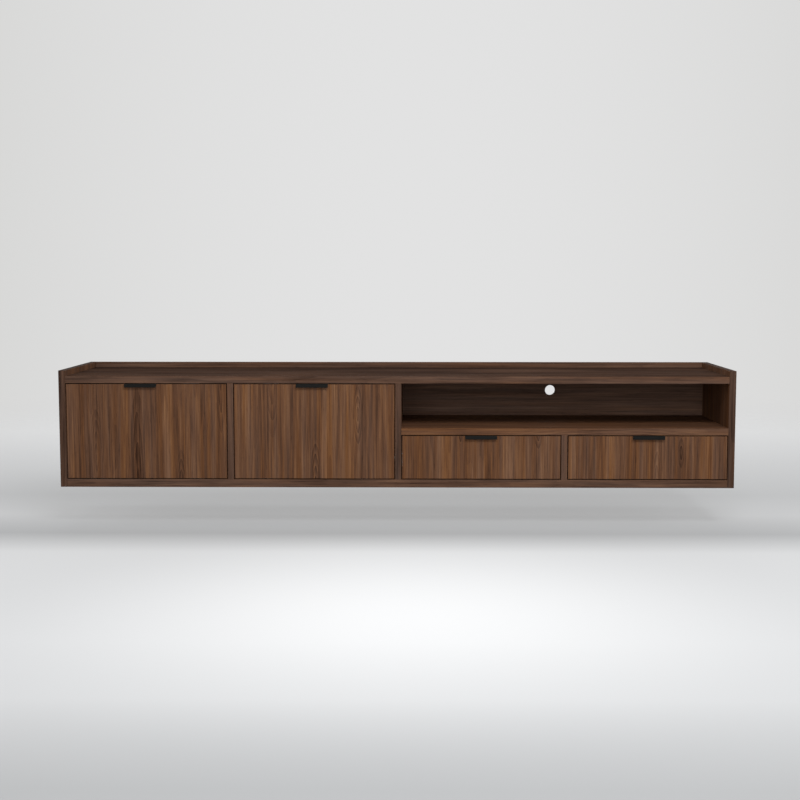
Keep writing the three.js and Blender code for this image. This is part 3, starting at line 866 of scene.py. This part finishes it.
class Finishes:
    """All the console's finishes, made once and shared by its pieces."""

    def __init__(self) -> None:
        """Builds every material."""
        # Sliced walnut, matt lacquered: long fine streaks in strips of brown, and hardly any gloss
        self.long_veneer = Walnut("walnut_veneer_matt_lacquered_long_grain", Grain.LONG, tone=0.46).material()
        self.upright_veneer = Walnut("walnut_veneer_matt_lacquered_upright_grain", Grain.UPRIGHT,
                                     tone=0.46).material()
        # The top's leaves are broader in their figure, and darker and greyer than the fronts: partly their own tone,
        # partly painted shade and a painted dull sheen on the top, with a painted shade strip along the rail
        self.painted_shade_top_veneer = Walnut("walnut_veneer_matt_lacquered_top", Grain.LONG, tone=0.19, greyness=0.12,
                                 weights=(0.75, 0.50, 0.65, -0.10), patch=Mark(120 * MM, 620 * MM, 2.0),
                                 gloss=0.001, offset=3.7, painted_shade_line=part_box("back_rail")[0].y).material()
        # The back and the rail are plainer leaves, a little greyer
        self.back_veneer = Walnut("walnut_veneer_back_panel", Grain.LONG, tone=0.44, greyness=0.20,
                                  weights=(0.75, 0.50, 0.30, -0.10), offset=17.1).material()
        self.rail_veneer = Walnut("walnut_veneer_back_rail", Grain.LONG, tone=0.38, greyness=0.10,
                                  weights=(0.75, 0.50, 0.25, -0.10), offset=23.1).material()
        # Edge bands are narrow strips of one tone each, so the boards' edges stand apart from their faces
        self.long_band = Walnut("walnut_edge_band_long_grain", Grain.LONG, tone=0.39, greyness=0.12,
                                offset=11.3, patch=Mark(46 * MM, 180 * MM, 2.0)).material()
        low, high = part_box("shelf")
        self.shelf_band = Walnut("walnut_edge_band_shelf", Grain.LONG, leaf=SHELF_LEAF, weights=FIGURED_WEIGHTS,
                                 face=(low.x, high.x, low.z), offset=5.1).material()
        self.upright_band = Walnut("walnut_edge_band_upright_grain", Grain.UPRIGHT, tone=0.36, greyness=0.14,
                                   offset=7.9).material()
        # Painted shade: the sides' front edges and the lips' upper edges are coloured far darker than the other
        # bands, as the shade that falls on them
        self.painted_shade_side_band = Walnut("walnut_edge_band_sides", Grain.UPRIGHT, tone=0.20, greyness=0.12,
                                offset=2.3).material()
        self.painted_shade_lip_band = Walnut("walnut_edge_band_lips", Grain.DEEP, tone=0.14, greyness=0.20,
                               offset=4.1).material()
        # Powder coat on sheet steel: an even black with a faint pebble and a dull, wide highlight
        self.powder_coat = Metal("steel_black_powder_coated", "0f0e0c", metallic=0.0, roughness=0.55,
                                 grain=0.35 * MM, relief=0.2, specular=0.1).material()
        # Zinc plate on rolled steel: a cool grey, drawn out into faint marks along the rolling
        self.zinc = Metal("steel_bright_zinc_plated", "989b9d", roughness=0.42, grain=0.8 * MM,
                          stretch=(1.0, 0.05, 1.0)).material()
        # Painted shade: zinc plated rolled steel, coloured nearly as dark as the gaps round the drawers, in which it
        # shows
        self.painted_shade_zinc = Metal("steel_black_zinc_plated", "34363a", grain=0.8 * MM,
                                stretch=(1.0, 0.05, 1.0)).material()
        # Satin nickel on castings and stampings: a warm grey with a soft, slightly clouded shine
        self.nickel = Metal("steel_satin_nickel_plated", "95928c", roughness=0.44).material()
        # Painted shade: the hinges' nickel plated stampings are coloured a warm black that stands for the shade in
        # the gap below a flap, so that they don't catch the light there
        self.painted_shade_nickel = Metal("steel_black_nickel_plated", "3b3835").material()
        # Moulded plastic: a flat dark grey with the mould's fine texture
        self.plastic = Metal("plastic_grey_moulded", "3d4042", metallic=0.0, relief=0.12).material()
        # Lacquered birch plywood: pale faces with soft grain, and sanded edges lined by the glued layers
        self.birch_face = {
            grain: PaleWood("birch_plywood_lacquered_face_" + grain.name.lower(), "d9c096", "c3a172", grain,
                            ring=9 * MM).material()
            for grain in (Grain.LONG, Grain.DEEP)
        }
        self.birch_edge = {
            layers: PaleWood("birch_plywood_sanded_edge_" + layers.name.lower(), "cfb083", "a98257", grain,
                             ring=2 * MM, layers=layers).material()
            for layers, grain in ((Grain.LONG, Grain.DEEP), (Grain.DEEP, Grain.LONG), (Grain.UPRIGHT, Grain.DEEP))
        }
        # Planed pine: yellowish, with long soft rings and no lacquer's shine
        self.pine = PaleWood("pine_planed", "dcbf8c", "b98c54", Grain.LONG, ring=6 * MM).material()


# Sub-assemblies


@dataclass
class Carcase:
    """The fixed boards: sides, top, bottom, dividers, shelf, grooved-in back, and the rail along the top's rear."""

    finishes: Finishes
    edge_round: float = 0.7 * MM
    cup_bore_radius: float = 17.5 * MM
    cable_hole_radius: float = 16 * MM
    cable_hole_sides: int = 96
    back_round: float = 0.6 * MM
    bore_below: float = 0.3 * MM
    bore_above: float = 5 * MM
    base_edge_wall: float = 2 * MM

    def board(self, node: str, veneer: Material, band: Material, cutters: Sequence[Solid] = ()) -> None:
        """Makes one veneered board with an edge band on its front.

        Args:
            node: The board's node in the frame.
            veneer: The finish of its faces.
            band: The finish of its front edge.
            cutters: The solids that cut its grooves and bores.
        """
        piece = cut(block(node + "_board", *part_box(node)), *cutters)
        bands = [(faces_front, band)]
        if node.endswith("side_panel"):
            bands.append((faces_up, self.finishes.painted_shade_lip_band))
        finish_board(piece, "carcase", Slot.VENEER, node, self.edge_round, veneer, *bands)

    def groove(self) -> Solid:
        """Makes the solid that cuts the groove for the back panel."""
        return block("groove", *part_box("back_panel"))

    def cup_bore(self, node: str) -> Solid:
        """Makes the solid that bores the bottom panel for one hinge cup.

        Args:
            node: The hinge base's node.

        Returns:
            The boring bit's solid.
        """
        low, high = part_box(node)
        middle = ((low.x + high.x) / 2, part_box("bottom_panel")[0].y + self.base_edge_wall + self.cup_bore_radius)
        return rod("bore", self.cup_bore_radius, (*middle, low.z - self.bore_below),
                   (*middle, high.z + self.bore_above))

    def back(self) -> None:
        """Makes the back panel with its chamfered cable hole."""
        openings = {o["name"]: o["box_m"] for o in frame["record"]["physics"]["openings"]}
        low, high = (Vector(corner) for corner in openings["cable_hole"])
        middle = (low + high) / 2
        drill = rod("drill", self.cable_hole_radius, (middle.x, low.y, middle.z), (middle.x, high.y, middle.z),
                    self.cable_hole_sides)
        panel = cut(block("back_panel_board", *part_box("back_panel")), drill)
        finish_board(panel, "carcase", Slot.VENEER, "back_panel", self.back_round,
                     self.finishes.back_veneer)

    def build(self) -> None:
        """Builds every fixed board."""
        looks = self.finishes
        for side in ("left_side_panel", "right_side_panel"):
            self.board(side, looks.upright_veneer, looks.painted_shade_side_band, [self.groove()])
        self.board("top_panel", looks.painted_shade_top_veneer, looks.long_band,
                   [self.groove(), block("rebate", *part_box("back_rail"))])
        bases = [f"{flap}_{end.value}_hinge_base" for flap in FLAPS for end in Side]
        self.board("bottom_panel", looks.long_veneer, looks.long_band,
                   [self.groove(), *(self.cup_bore(base) for base in bases)])
        for node in ("flap_divider", "centre_divider", "drawer_divider"):
            self.board(node, looks.upright_veneer, looks.upright_band)
        self.board("shelf", looks.long_veneer, looks.shelf_band)
        self.board("back_rail", looks.rail_veneer, looks.rail_veneer)
        self.back()


@dataclass
class Fronts:
    """The four inset fronts, each faced with its own leaf of figured veneer and bored for its hinges."""

    finishes: Finishes
    edge_round: float = 0.8 * MM
    cup_bore_radius: float = 17.5 * MM
    cup_height: float = 22.5 * MM
    cup_floor: float = 5.7 * MM
    bore_overrun: float = 5 * MM
    leaf_shift: float = 7

    def build(self) -> None:
        """Builds the fronts of both flaps and both drawers."""
        leaves = {
            "left_flap": LEFT_FLAP_LEAF, "right_flap": RIGHT_FLAP_LEAF,
            "left_drawer": LEFT_DRAWER_LEAF, "right_drawer": RIGHT_DRAWER_LEAF,
        }
        for owner, leaf in leaves.items():
            node = owner + "_front"
            low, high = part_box(node)
            piece = block(node + "_board", low, high)
            if owner.endswith("flap"):
                for end in Side:
                    arm_low, arm_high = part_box(f"{owner}_{end.value}_hinge_arm")
                    x, z = (arm_low.x + arm_high.x) / 2, low.z + self.cup_height
                    cut(piece, rod("bore", self.cup_bore_radius, (x, low.y + self.cup_floor, z),
                                       (x, high.y + self.bore_overrun, z)))
            face = Walnut(f"walnut_figured_leaf_{owner}", Grain.UPRIGHT, leaf=leaf, weights=FIGURED_WEIGHTS,
                          face=(low.x, high.x, low.z), offset=low.x * self.leaf_shift).material()
            finish_board(piece, owner, Slot.VENEER, node, self.edge_round, self.finishes.upright_veneer,
                         (faces_front, face))


@dataclass
class Screws:
    """The cross-recessed screws that hold the fittings, copied from one head; their shanks are out of sight."""

    finishes: Finishes
    radius: float = 3.2 * MM
    height: float = 1.4 * MM
    edge_round: float = 0.5 * MM
    sides: int = 20
    recess_width: float = 0.8 * MM
    recess_length: float = 3.4 * MM
    recess_depth: float = 0.9 * MM

    def __post_init__(self) -> None:
        """Makes the head that the others are copied from, on the origin and facing up."""
        top, floor = self.height, self.height - self.recess_depth
        self.pattern = ease(rod("screw_pattern", self.radius, (0, 0, 0), (0, 0, top), self.sides), self.edge_round)
        half = (self.recess_width / 2, self.recess_length / 2)
        for across, along in (half, half[::-1]):
            cut(self.pattern, block("recess", (-across, -along, floor), (across, along, 2 * top)))

    def row(self, held: str, spots: Sequence[Places], facing: Vector, body: str, sunk: float = 0.0,
            finish: Material | None = None, slot: Slot = Slot.ZINC) -> None:
        """Copies the head to each of a piece's screw holes.

        Args:
            held: The name of the piece that the screws hold.
            spots: The points of its surface that the heads sit on.
            facing: The way that the heads look.
            body: The body that they move with.
            sunk: How deep the heads are let in.
            finish: Their finish, or none for zinc plate.
            slot: The record's material slot.
        """
        turn = facing.to_track_quat("Z", "Y").to_matrix().to_4x4()
        for index, spot in enumerate(spots, 1):
            place = Matrix.Translation(Vector(spot) - sunk * facing) @ turn
            dress(copy_to(self.pattern, f"{held}_screw_{index}", place), finish or self.finishes.zinc, body, slot)

    def put_away(self) -> None:
        """Removes the head that the others were copied from."""
        bpy.data.objects.remove(self.pattern)


@dataclass
class Pull:
    """A tab pull: black powder-coated sheet hooked over a front's top edge, with two screws behind."""

    finishes: Finishes
    screws: Screws
    owner: str
    sheet: float = 1.5 * MM
    outer_bend: float = 2.5 * MM
    lip: float = 10.5 * MM
    corner: float = 1.6 * MM
    edge_round: float = 0.25 * MM
    bend_steps: int = 8
    screw_rise: float = 8 * MM
    screw_aside: float = 32 * MM

    def arc(self, middle: Vector, radius: float, first: float, last: float) -> list[Vector]:
        """Returns the points of one side of the sheet's bend, from its first angle to its last."""
        angles = [first + (last - first) * step / self.bend_steps for step in range(self.bend_steps + 1)]
        return [middle + radius * Vector((0, math.cos(angle), math.sin(angle))) for angle in angles]

    def build(self) -> None:
        """Bends the sheet round the front's top edge and screws its leg to the front's inner face."""
        node = self.owner + "_pull"
        low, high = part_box(node)
        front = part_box(self.owner + "_front")
        bend = Vector((low.x, low.y + self.outer_bend, high.z - self.outer_bend))
        points = [
            Vector((low.x, high.y, low.z)), Vector((low.x, high.y, high.z)),
            *self.arc(bend, self.outer_bend, math.pi / 2, math.pi),
            Vector((low.x, low.y, high.z - self.lip)), Vector((low.x, low.y + self.sheet, high.z - self.lip)),
            *self.arc(bend, self.outer_bend - self.sheet, math.pi, math.pi / 2),
            Vector((low.x, front[1].y, front[1].z)), Vector((low.x, front[1].y, low.z)),
        ]
        piece = prism(node + "_sheet", points, (high.x - low.x, 0, 0))
        ease(piece, self.edge_round)
        dress(piece, self.finishes.powder_coat, self.owner, Slot.COAT, node)
        middle = (low.x + high.x) / 2
        spots = [(middle + aside, high.y, low.z + self.screw_rise) for aside in (-self.screw_aside, self.screw_aside)]
        self.screws.row(node, spots, REAR, self.owner, finish=self.finishes.powder_coat, slot=Slot.COAT)


@dataclass
class DrawerBox:
    """A drawer's birch plywood box, with its bottom in grooves, screwed from inside to the drawer's front."""

    finishes: Finishes
    screws: Screws
    owner: str
    edge_round: float = 0.6 * MM
    screw_aside: float = 60 * MM
    screw_rise: float = 26 * MM
    screw_sunk: float = 0.9 * MM

    def board(self, part: str, thickness: Grain, grain: Grain, grooved: bool) -> None:
        """Makes one board of the box, with the plywood's layers on its edges.

        Args:
            part: The board's name within the box.
            thickness: The axis across its faces.
            grain: The axis that its face grain runs along.
            grooved: Whether the box's bottom is let into it.
        """
        node = f"{self.owner}_box_{part}"
        piece = block(node + "_board", *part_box(node))
        if grooved:
            cut(piece, block("groove", *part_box(self.owner + "_box_bottom")))
        finish_board(piece, self.owner, Slot.BIRCH, node, self.edge_round, self.finishes.birch_face[grain],
                     (lambda normal: abs(normal[thickness.value]) < 1 - SQUARE, self.finishes.birch_edge[thickness]))

    def build(self) -> None:
        """Builds the box's five boards and the four screws of its front."""
        self.board("left_side", Grain.LONG, Grain.DEEP, True)
        self.board("right_side", Grain.LONG, Grain.DEEP, True)
        self.board("front", Grain.DEEP, Grain.LONG, True)
        self.board("back", Grain.DEEP, Grain.LONG, False)
        self.board("bottom", Grain.UPRIGHT, Grain.DEEP, False)
        low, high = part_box(self.owner + "_box_front")
        spots = [(x, high.y, z) for z in (low.z + self.screw_rise, high.z - self.screw_rise)
                 for x in (low.x + self.screw_aside, high.x - self.screw_aside)]
        self.screws.row(self.owner + "_box_front", spots, REAR, self.owner, self.screw_sunk)


@dataclass
class Fittings:
    """The hinges, stays, catches and slides, with the edges that stamping and casting leave softly rounded."""

    finishes: Finishes
    screws: Screws
    stamped_round: float = 0.18 * MM
    cast_round: float = 0.35 * MM
    flange_sheet: float = 1.2 * MM
    flange_screw_aside: float = 22.3 * MM
    flange_screw_sunk: float = 0.7 * MM
    flange_screw_radius: float = 17.5 * MM
    base_edge_wall: float = 2 * MM
    arm_cup_rise: float = 22.5 * MM
    housing_thickness: float = 13 * MM
    housing_radius: float = 24 * MM
    housing_screw_aside: float = 12 * MM
    bracket_sheet: float = 2 * MM
    bracket_screw_inset: float = 8.5 * MM
    catch_screw_inset: float = 8 * MM
    slide_sheet: float = 1.2 * MM
    slide_screw_inset: float = 35 * MM
    screw_sunk: float = 0.6 * MM

    def fitting(self, node: str, suffix: str, body: str, finish: Material, slot: Slot, edge_round: float) -> None:
        """Makes one fitting from its node, with softened edges."""
        piece = ease(reworked(f"{node}_{suffix}", node), edge_round, segments=1)
        dress(piece, finish, body, slot, node)

    def hinge_screws(self, flap: str, end: Side) -> None:
        """Screws one hinge's two flanges down.

        Args:
            flap: The flap's name.
            end: The hinge's end of the flap.
        """
        hinge = f"{flap}_{end.value}_hinge"
        low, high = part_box(hinge + "_base")
        middle = (low.x + high.x) / 2
        front_low, front_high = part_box(flap + "_front")
        base_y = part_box("bottom_panel")[0].y + self.base_edge_wall + self.flange_screw_radius
        arm_y, arm_z = front_high.y + self.flange_sheet, front_low.z + self.arm_cup_rise
        pair = (middle - self.flange_screw_aside, middle + self.flange_screw_aside)
        # The screws take the hinges' painted shade
        plated = (self.flange_screw_sunk, self.finishes.painted_shade_nickel, Slot.NICKEL)
        self.screws.row(hinge + "_base", [(x, base_y, high.z) for x in pair], UP, "carcase", *plated)
        self.screws.row(hinge + "_arm", [(x, arm_y, arm_z) for x in pair], REAR, flap, *plated)

    def stay_screws(self, flap: str) -> None:
        """Screws one stay's housing to its wall and its bracket to the flap.

        Args:
            flap: The flap's name.
        """
        plated = (self.screw_sunk, self.finishes.nickel, Slot.NICKEL)
        low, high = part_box(flap + "_stay_housing")
        front_low, front_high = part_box(flap + "_front")
        inward = 1 if low.x + high.x < front_low.x + front_high.x else -1
        face = (low.x if inward > 0 else high.x) + inward * self.housing_thickness
        y, z = high.y - self.housing_radius, low.z + self.housing_radius
        spots = [(face, y, z + aside) for aside in (-self.housing_screw_aside, self.housing_screw_aside)]
        self.screws.row(flap + "_stay_housing", spots, inward * RIGHT, "carcase", *plated)
        low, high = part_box(flap + "_stay_bracket")
        x = (high.x if inward > 0 else low.x) - inward * self.bracket_screw_inset
        spots = [(x, low.y + self.bracket_sheet, z)
                 for z in (low.z + self.bracket_screw_inset, high.z - self.bracket_screw_inset)]
        self.screws.row(flap + "_stay_bracket", spots, REAR, flap, *plated)

    def catch_screws(self, flap: str) -> None:
        """Screws one catch to the top panel, from below.

        Args:
            flap: The flap's name.
        """
        low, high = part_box(flap + "_catch")
        spots = [(x, (low.y + high.y) / 2, low.z)
                 for x in (low.x + self.catch_screw_inset, high.x - self.catch_screw_inset)]
        self.screws.row(flap + "_catch", spots, -UP, "carcase", self.screw_sunk)

    def slide_screws(self, drawer: str, side: Side) -> None:
        """Screws one slide's drawer member to the box, from inside its channel.

        Args:
            drawer: The drawer's name.
            side: The slide's side of the drawer.
        """
        member = f"{drawer}_{side.value}_slide_drawer_member"
        low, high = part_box(member)
        outward, inner = (-1, high.x) if side is Side.LEFT else (1, low.x)
        floor = inner + outward * self.slide_sheet
        places = (low.y + self.slide_screw_inset, (low.y + high.y) / 2, high.y - self.slide_screw_inset)
        self.screws.row(member, [(floor, y, (low.z + high.z) / 2) for y in places], outward * RIGHT, drawer,
                        self.screw_sunk)

    def build(self) -> None:
        """Builds every fitting and its screws."""
        looks = self.finishes
        plated = (looks.nickel, Slot.NICKEL, self.stamped_round)
        for flap in FLAPS:
            for end in Side:
                hinge = f"{flap}_{end.value}_hinge"
                # The hinges show in the gap below the flap, so they get the painted shade
                self.fitting(hinge + "_base", "cup", "carcase", looks.painted_shade_nickel, *plated[1:])
                self.fitting(hinge + "_arm", "gooseneck", flap, looks.painted_shade_nickel, *plated[1:])
                self.hinge_screws(flap, end)
            stay = flap + "_stay"
            self.fitting(stay + "_housing", "casting", "carcase", *plated)
            self.fitting(stay + "_arm", "bar", stay + "_arm", *plated)
            self.fitting(stay + "_link", "bar", stay + "_link", *plated)
            self.fitting(stay + "_bracket", "angle", flap, *plated)
            self.stay_screws(flap)
            self.fitting(flap + "_catch", "moulding", "carcase", looks.plastic, Slot.PLASTIC, self.cast_round)
            self.catch_screws(flap)
        rolled = (looks.zinc, Slot.ZINC, self.stamped_round)
        for drawer in DRAWERS:
            for side in Side:
                slide = f"{drawer}_{side.value}_slide"
                # The cabinet members show in the gaps round the drawers, so they get the painted shade; the other
                # members stay bright zinc
                self.fitting(slide + "_cabinet_member", "rail", "carcase", looks.painted_shade_zinc, *rolled[1:])
                self.fitting(slide + "_middle_member", "rail", drawer + "_slide_middle", *rolled)
                self.fitting(slide + "_drawer_member", "rail", drawer, *rolled)
                self.slide_screws(drawer, side)


@dataclass
class Battens:
    """The split pine batten: one half screwed to the console's back and its mate for the wall."""

    finishes: Finishes
    screws: Screws
    edge_round: float = 1.2 * MM
    screw_count: int = 7
    screw_inset: float = 90 * MM
    screw_sunk: float = 1.2 * MM

    def batten(self, node: str, facing: Vector) -> None:
        """Makes one half with planed, slightly rounded edges and a row of sunk screws.

        Args:
            node: The batten's node.
            facing: The way that its screws' heads look, FRONT or REAR.
        """
        piece = ease(reworked(node + "_board", node), self.edge_round)
        dress(piece, self.finishes.pine, "carcase", Slot.PINE, node)
        low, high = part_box(node)
        y = low.y if facing is FRONT else high.y
        step = (high.x - low.x - 2 * self.screw_inset) / (self.screw_count - 1)
        spots = [(low.x + self.screw_inset + index * step, y, (low.z + high.z) / 2)
                 for index in range(self.screw_count)]
        self.screws.row(node, spots, facing, "carcase", self.screw_sunk)

    def build(self) -> None:
        """Builds both halves."""
        self.batten("hanging_rail", REAR)
        self.batten("wall_batten", FRONT)


# Camera, light and floor


@dataclass(frozen=True)
class Lamp:
    """A soft rectangular lamp: where it stands, what it shines at, its width and height, and its watts."""

    name: str
    place: tuple[float, float, float]
    aim: tuple[float, float, float]
    size: tuple[float, float]
    power: float
    glossy: bool = True

    def hang(self) -> None:
        """Adds the lamp, which the camera doesn't see."""
        data = bpy.data.lights.new(self.name, "AREA")
        data.shape = "RECTANGLE"
        data.size, data.size_y = self.size
        data.energy = self.power
        lamp = bpy.data.objects.new(self.name, data)
        lamp.visible_camera = False
        lamp.visible_glossy = self.glossy
        lamp.location = self.place
        lamp.rotation_euler = (Vector(self.aim) - Vector(self.place)).to_track_quat("-Z", "Y").to_euler()
        bpy.context.scene.collection.objects.link(lamp)


# A key and a fill in front, one lamp overhead, and dim ones at both ends and behind. The rear lamp is kept out of
# reflections, because it would put a sheen on the top.
LAMPS = (
    Lamp("front_key", (0.8, -3.3, 2.5), (0, -0.3, 0), (2.2, 1.2), 83),
    Lamp("front_fill", (-0.1, -4.8, 0.7), (0, -0.3, 0), (3.0, 1.8), 61),
    Lamp("overhead", (0, 1.1, 2.4), (0, -0.1, 0), (3.4, 1.2), 10),
    Lamp("left_end", (-3.4, -0.7, 1.1), (0, -0.3, 0), (2.0, 1.4), 18),
    Lamp("right_end", (3.4, -0.7, 1.1), (0, -0.3, 0), (2.0, 1.4), 18),
    Lamp("rear", (0, 3.3, 1.2), (0, 0, 0), (3.0, 1.4), 24, glossy=False),
)


@dataclass
class Studio:
    """The camera at the photograph's angle, soft lamps from the front and above, and a pale floor with painted light
    and shade.
    """

    lens: float = 60.16
    sensor: float = 36.0
    camera_place: tuple[float, float, float] = (0.0624, -4.3294, 0.4838)
    pitch_down: float = 5.4107
    yaw_left: float = 0.7482
    wall_tones: tuple[tuple[float, str], ...] = ((0.0, "e2e2e2"), (0.09, "d8d8d7"))
    even_light: float = 0.22
    floor_drop: float = 0.119
    floor_radius: float = 5.0
    floor_sides: int = 96
    floor_near: float = -3.0
    floor_far: float = 2.0
    # Painted light and shade along the floor's depth, front to back: darker towards the near edge, brightest in front
    # of the console, a painted shadow band at and below the console, and brighter again behind
    floor_painted_light_sweep: tuple[tuple[float, float], ...] = (
        (-3.0, 0.09), (-2.44, 0.18), (-2.02, 0.43), (-1.65, 0.48), (-0.76, 0.48), (-0.5, 0.25), (-0.2, 0.38),
        (0.18, 0.33), (1.35, 0.48), (2.0, 0.55))
    # A painted pool of light on the floor in front of the console: its middle and how bright it is there
    painted_light_pool_middle: tuple[float, float, float] = (0.05, -1.4, 0)
    painted_light_pool_glow: float = 0.22
    fade_from: float = 1.9
    fade_to: float = 4.5

    def camera(self) -> None:
        """Places the camera and makes it the scene's."""
        data = bpy.data.cameras.new("photo_camera")
        data.lens = self.lens
        data.sensor_width = self.sensor
        camera = bpy.data.objects.new("photo_camera", data)
        camera.location = self.camera_place
        camera.rotation_euler = (math.radians(90 - self.pitch_down), 0, math.radians(self.yaw_left))
        bpy.context.scene.collection.objects.link(camera)
        bpy.context.scene.camera = camera

    def shown(self, tree: Tree) -> Link:
        """Adds the test of whether a ray shows the background: from the camera, a reflection or through glass.

        Args:
            tree: The node tree of the wall or the floor.

        Returns:
            The test's output, 1 where the background shows.
        """
        path = add_node(tree, "LightPath").outputs
        seen = add_node(tree, "Math", {0: path["Is Camera Ray"], 1: path["Is Transmission Ray"]}, operation="MAXIMUM")
        return add_node(tree, "Math", {0: seen, 1: path["Is Glossy Ray"]}, operation="MAXIMUM")

    def backdrop(self) -> None:
        """Sets the world: a pale grey wall to the camera and in reflections, and an even dim light otherwise."""
        world = bpy.data.worlds.new("studio")
        bpy.context.scene.world = world
        world.use_nodes = True
        tree = world.node_tree
        tree.nodes.clear()
        view = add_node(tree, "TexCoord").outputs["Generated"]
        split = add_node(tree, "SeparateXYZ", {0: view})
        square = add_node(tree, "Math", {0: split.outputs["X"], 1: split.outputs["X"]}, operation="MULTIPLY")
        shade = add_node(tree, "ValToRGB", {0: square},
                         stops=[(place, linear(code)) for place, code in self.wall_tones])
        wall = add_node(tree, "Background", {"Color": shade, "Strength": 1.0})
        light = add_node(tree, "Background", {"Color": linear("ffffff"), "Strength": self.even_light})
        mixed = add_node(tree, "MixShader", {0: self.shown(tree), 1: light, 2: wall})
        add_node(tree, "OutputWorld", {"Surface": mixed})

    def floor(self) -> None:
        """Lays the pale floor below the console, with painted light: a painted pool of light in front of it, a
        painted shadow band at it, darker towards the near edge, and fading into the backdrop.
        """
        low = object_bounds()[0]
        bpy.ops.object.select_all(action="DESELECT")
        bpy.ops.mesh.primitive_circle_add(
            vertices=self.floor_sides, radius=self.floor_radius, fill_type="NGON",
            location=(0, 0, low.z - self.floor_drop))
        floor = settle("floor")
        # Matt paint: an even pale grey that keeps the console's shadow and shows no highlight. To the camera and in
        # reflections it also glows with painted light: a sweep along its depth that holds a painted shadow band at
        # the console and darkens towards the near edge, and a painted pool of light in front of the console.
        material, tree = new_material("floor_pale_matt_paint")
        place = add_node(tree, "TexCoord").outputs["Object"]
        split = add_node(tree, "SeparateXYZ", {0: place})
        depth = self.floor_far - self.floor_near
        share = add_node(tree, "MapRange", {0: split.outputs["Y"], 1: self.floor_near, 2: self.floor_far})
        # The painted light and shade along the floor's depth
        shine = add_node(tree, "ValToRGB", {0: share},
                         stops=[((y - self.floor_near) / depth, grey) for y, grey in self.floor_painted_light_sweep])
        # The painted pool of light, fading out from its middle
        middle = add_node(tree, "Mapping", {"Vector": place, "Location": self.painted_light_pool_middle}, vector_type="TEXTURE")
        flat = add_node(tree, "VectorMath", {0: middle, 1: (1, 1, 0)}, operation="MULTIPLY")
        reach = add_node(tree, "VectorMath", {0: flat}, operation="LENGTH")
        pool = add_node(tree, "MapRange", {0: reach.outputs["Value"], 3: self.painted_light_pool_glow, 4: 0.0},
                        interpolation_type="SMOOTHSTEP")
        total = add_node(tree, "Math", {0: shine, 1: pool}, operation="ADD")
        paint = add_node(tree, "BsdfDiffuse", {"Color": linear("909294")})
        glow = add_node(tree, "Emission", {"Color": total, "Strength": 1.0})
        seen = add_node(tree, "MixShader", {0: self.shown(tree), 2: glow})
        lit = add_node(tree, "AddShader", {0: paint, 1: seen})
        level = add_node(tree, "VectorMath", {0: place, 1: (1, 1, 0)}, operation="MULTIPLY")
        distance = add_node(tree, "VectorMath", {0: level}, operation="LENGTH")
        fade = add_node(tree, "MapRange", {0: distance.outputs["Value"], 1: self.fade_from, 2: self.fade_to},
                        interpolation_type="SMOOTHSTEP")
        clear = add_node(tree, "BsdfTransparent")
        below = add_node(tree, "NewGeometry").outputs["Backfacing"]
        hidden = add_node(tree, "Math", {0: fade, 1: below}, operation="MAXIMUM")
        faded = add_node(tree, "MixShader", {0: hidden, 1: lit, 2: clear})
        add_node(tree, "OutputMaterial", {"Surface": faded})
        floor.data.materials.append(material)
        floor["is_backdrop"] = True

    def build(self) -> None:
        """Builds the whole studio."""
        bpy.context.scene.view_settings.view_transform = "Standard"
        self.camera()
        for lamp in LAMPS:
            lamp.hang()
        self.backdrop()
        self.floor()


def main() -> None:
    """Builds the sub-assemblies in order and reports each piece, then builds the studio."""
    logging.basicConfig(level=logging.INFO, format="%(name)s: %(message)s")
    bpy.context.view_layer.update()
    finishes = Finishes()
    screws = Screws(finishes)
    steps: list[tuple[str, Callable[[], None]]] = [
        ("carcase", Carcase(finishes).build),
        ("fronts", Fronts(finishes).build),
        ("fittings", Fittings(finishes, screws).build),
        ("battens", Battens(finishes, screws).build),
    ]
    steps += [(f"{drawer} box", DrawerBox(finishes, screws, drawer).build) for drawer in DRAWERS]
    steps += [(f"{owner} pull", Pull(finishes, screws, owner).build) for owner in FLAPS + DRAWERS]
    for name, build in steps:
        known = {piece.name for piece in bpy.data.objects}
        build()
        for piece in bpy.data.objects:
            if piece.name not in known:
                log.info("%s: %s", name, piece.name)
    screws.put_away()
    Studio().build()


if __name__ == "__main__":
    main()
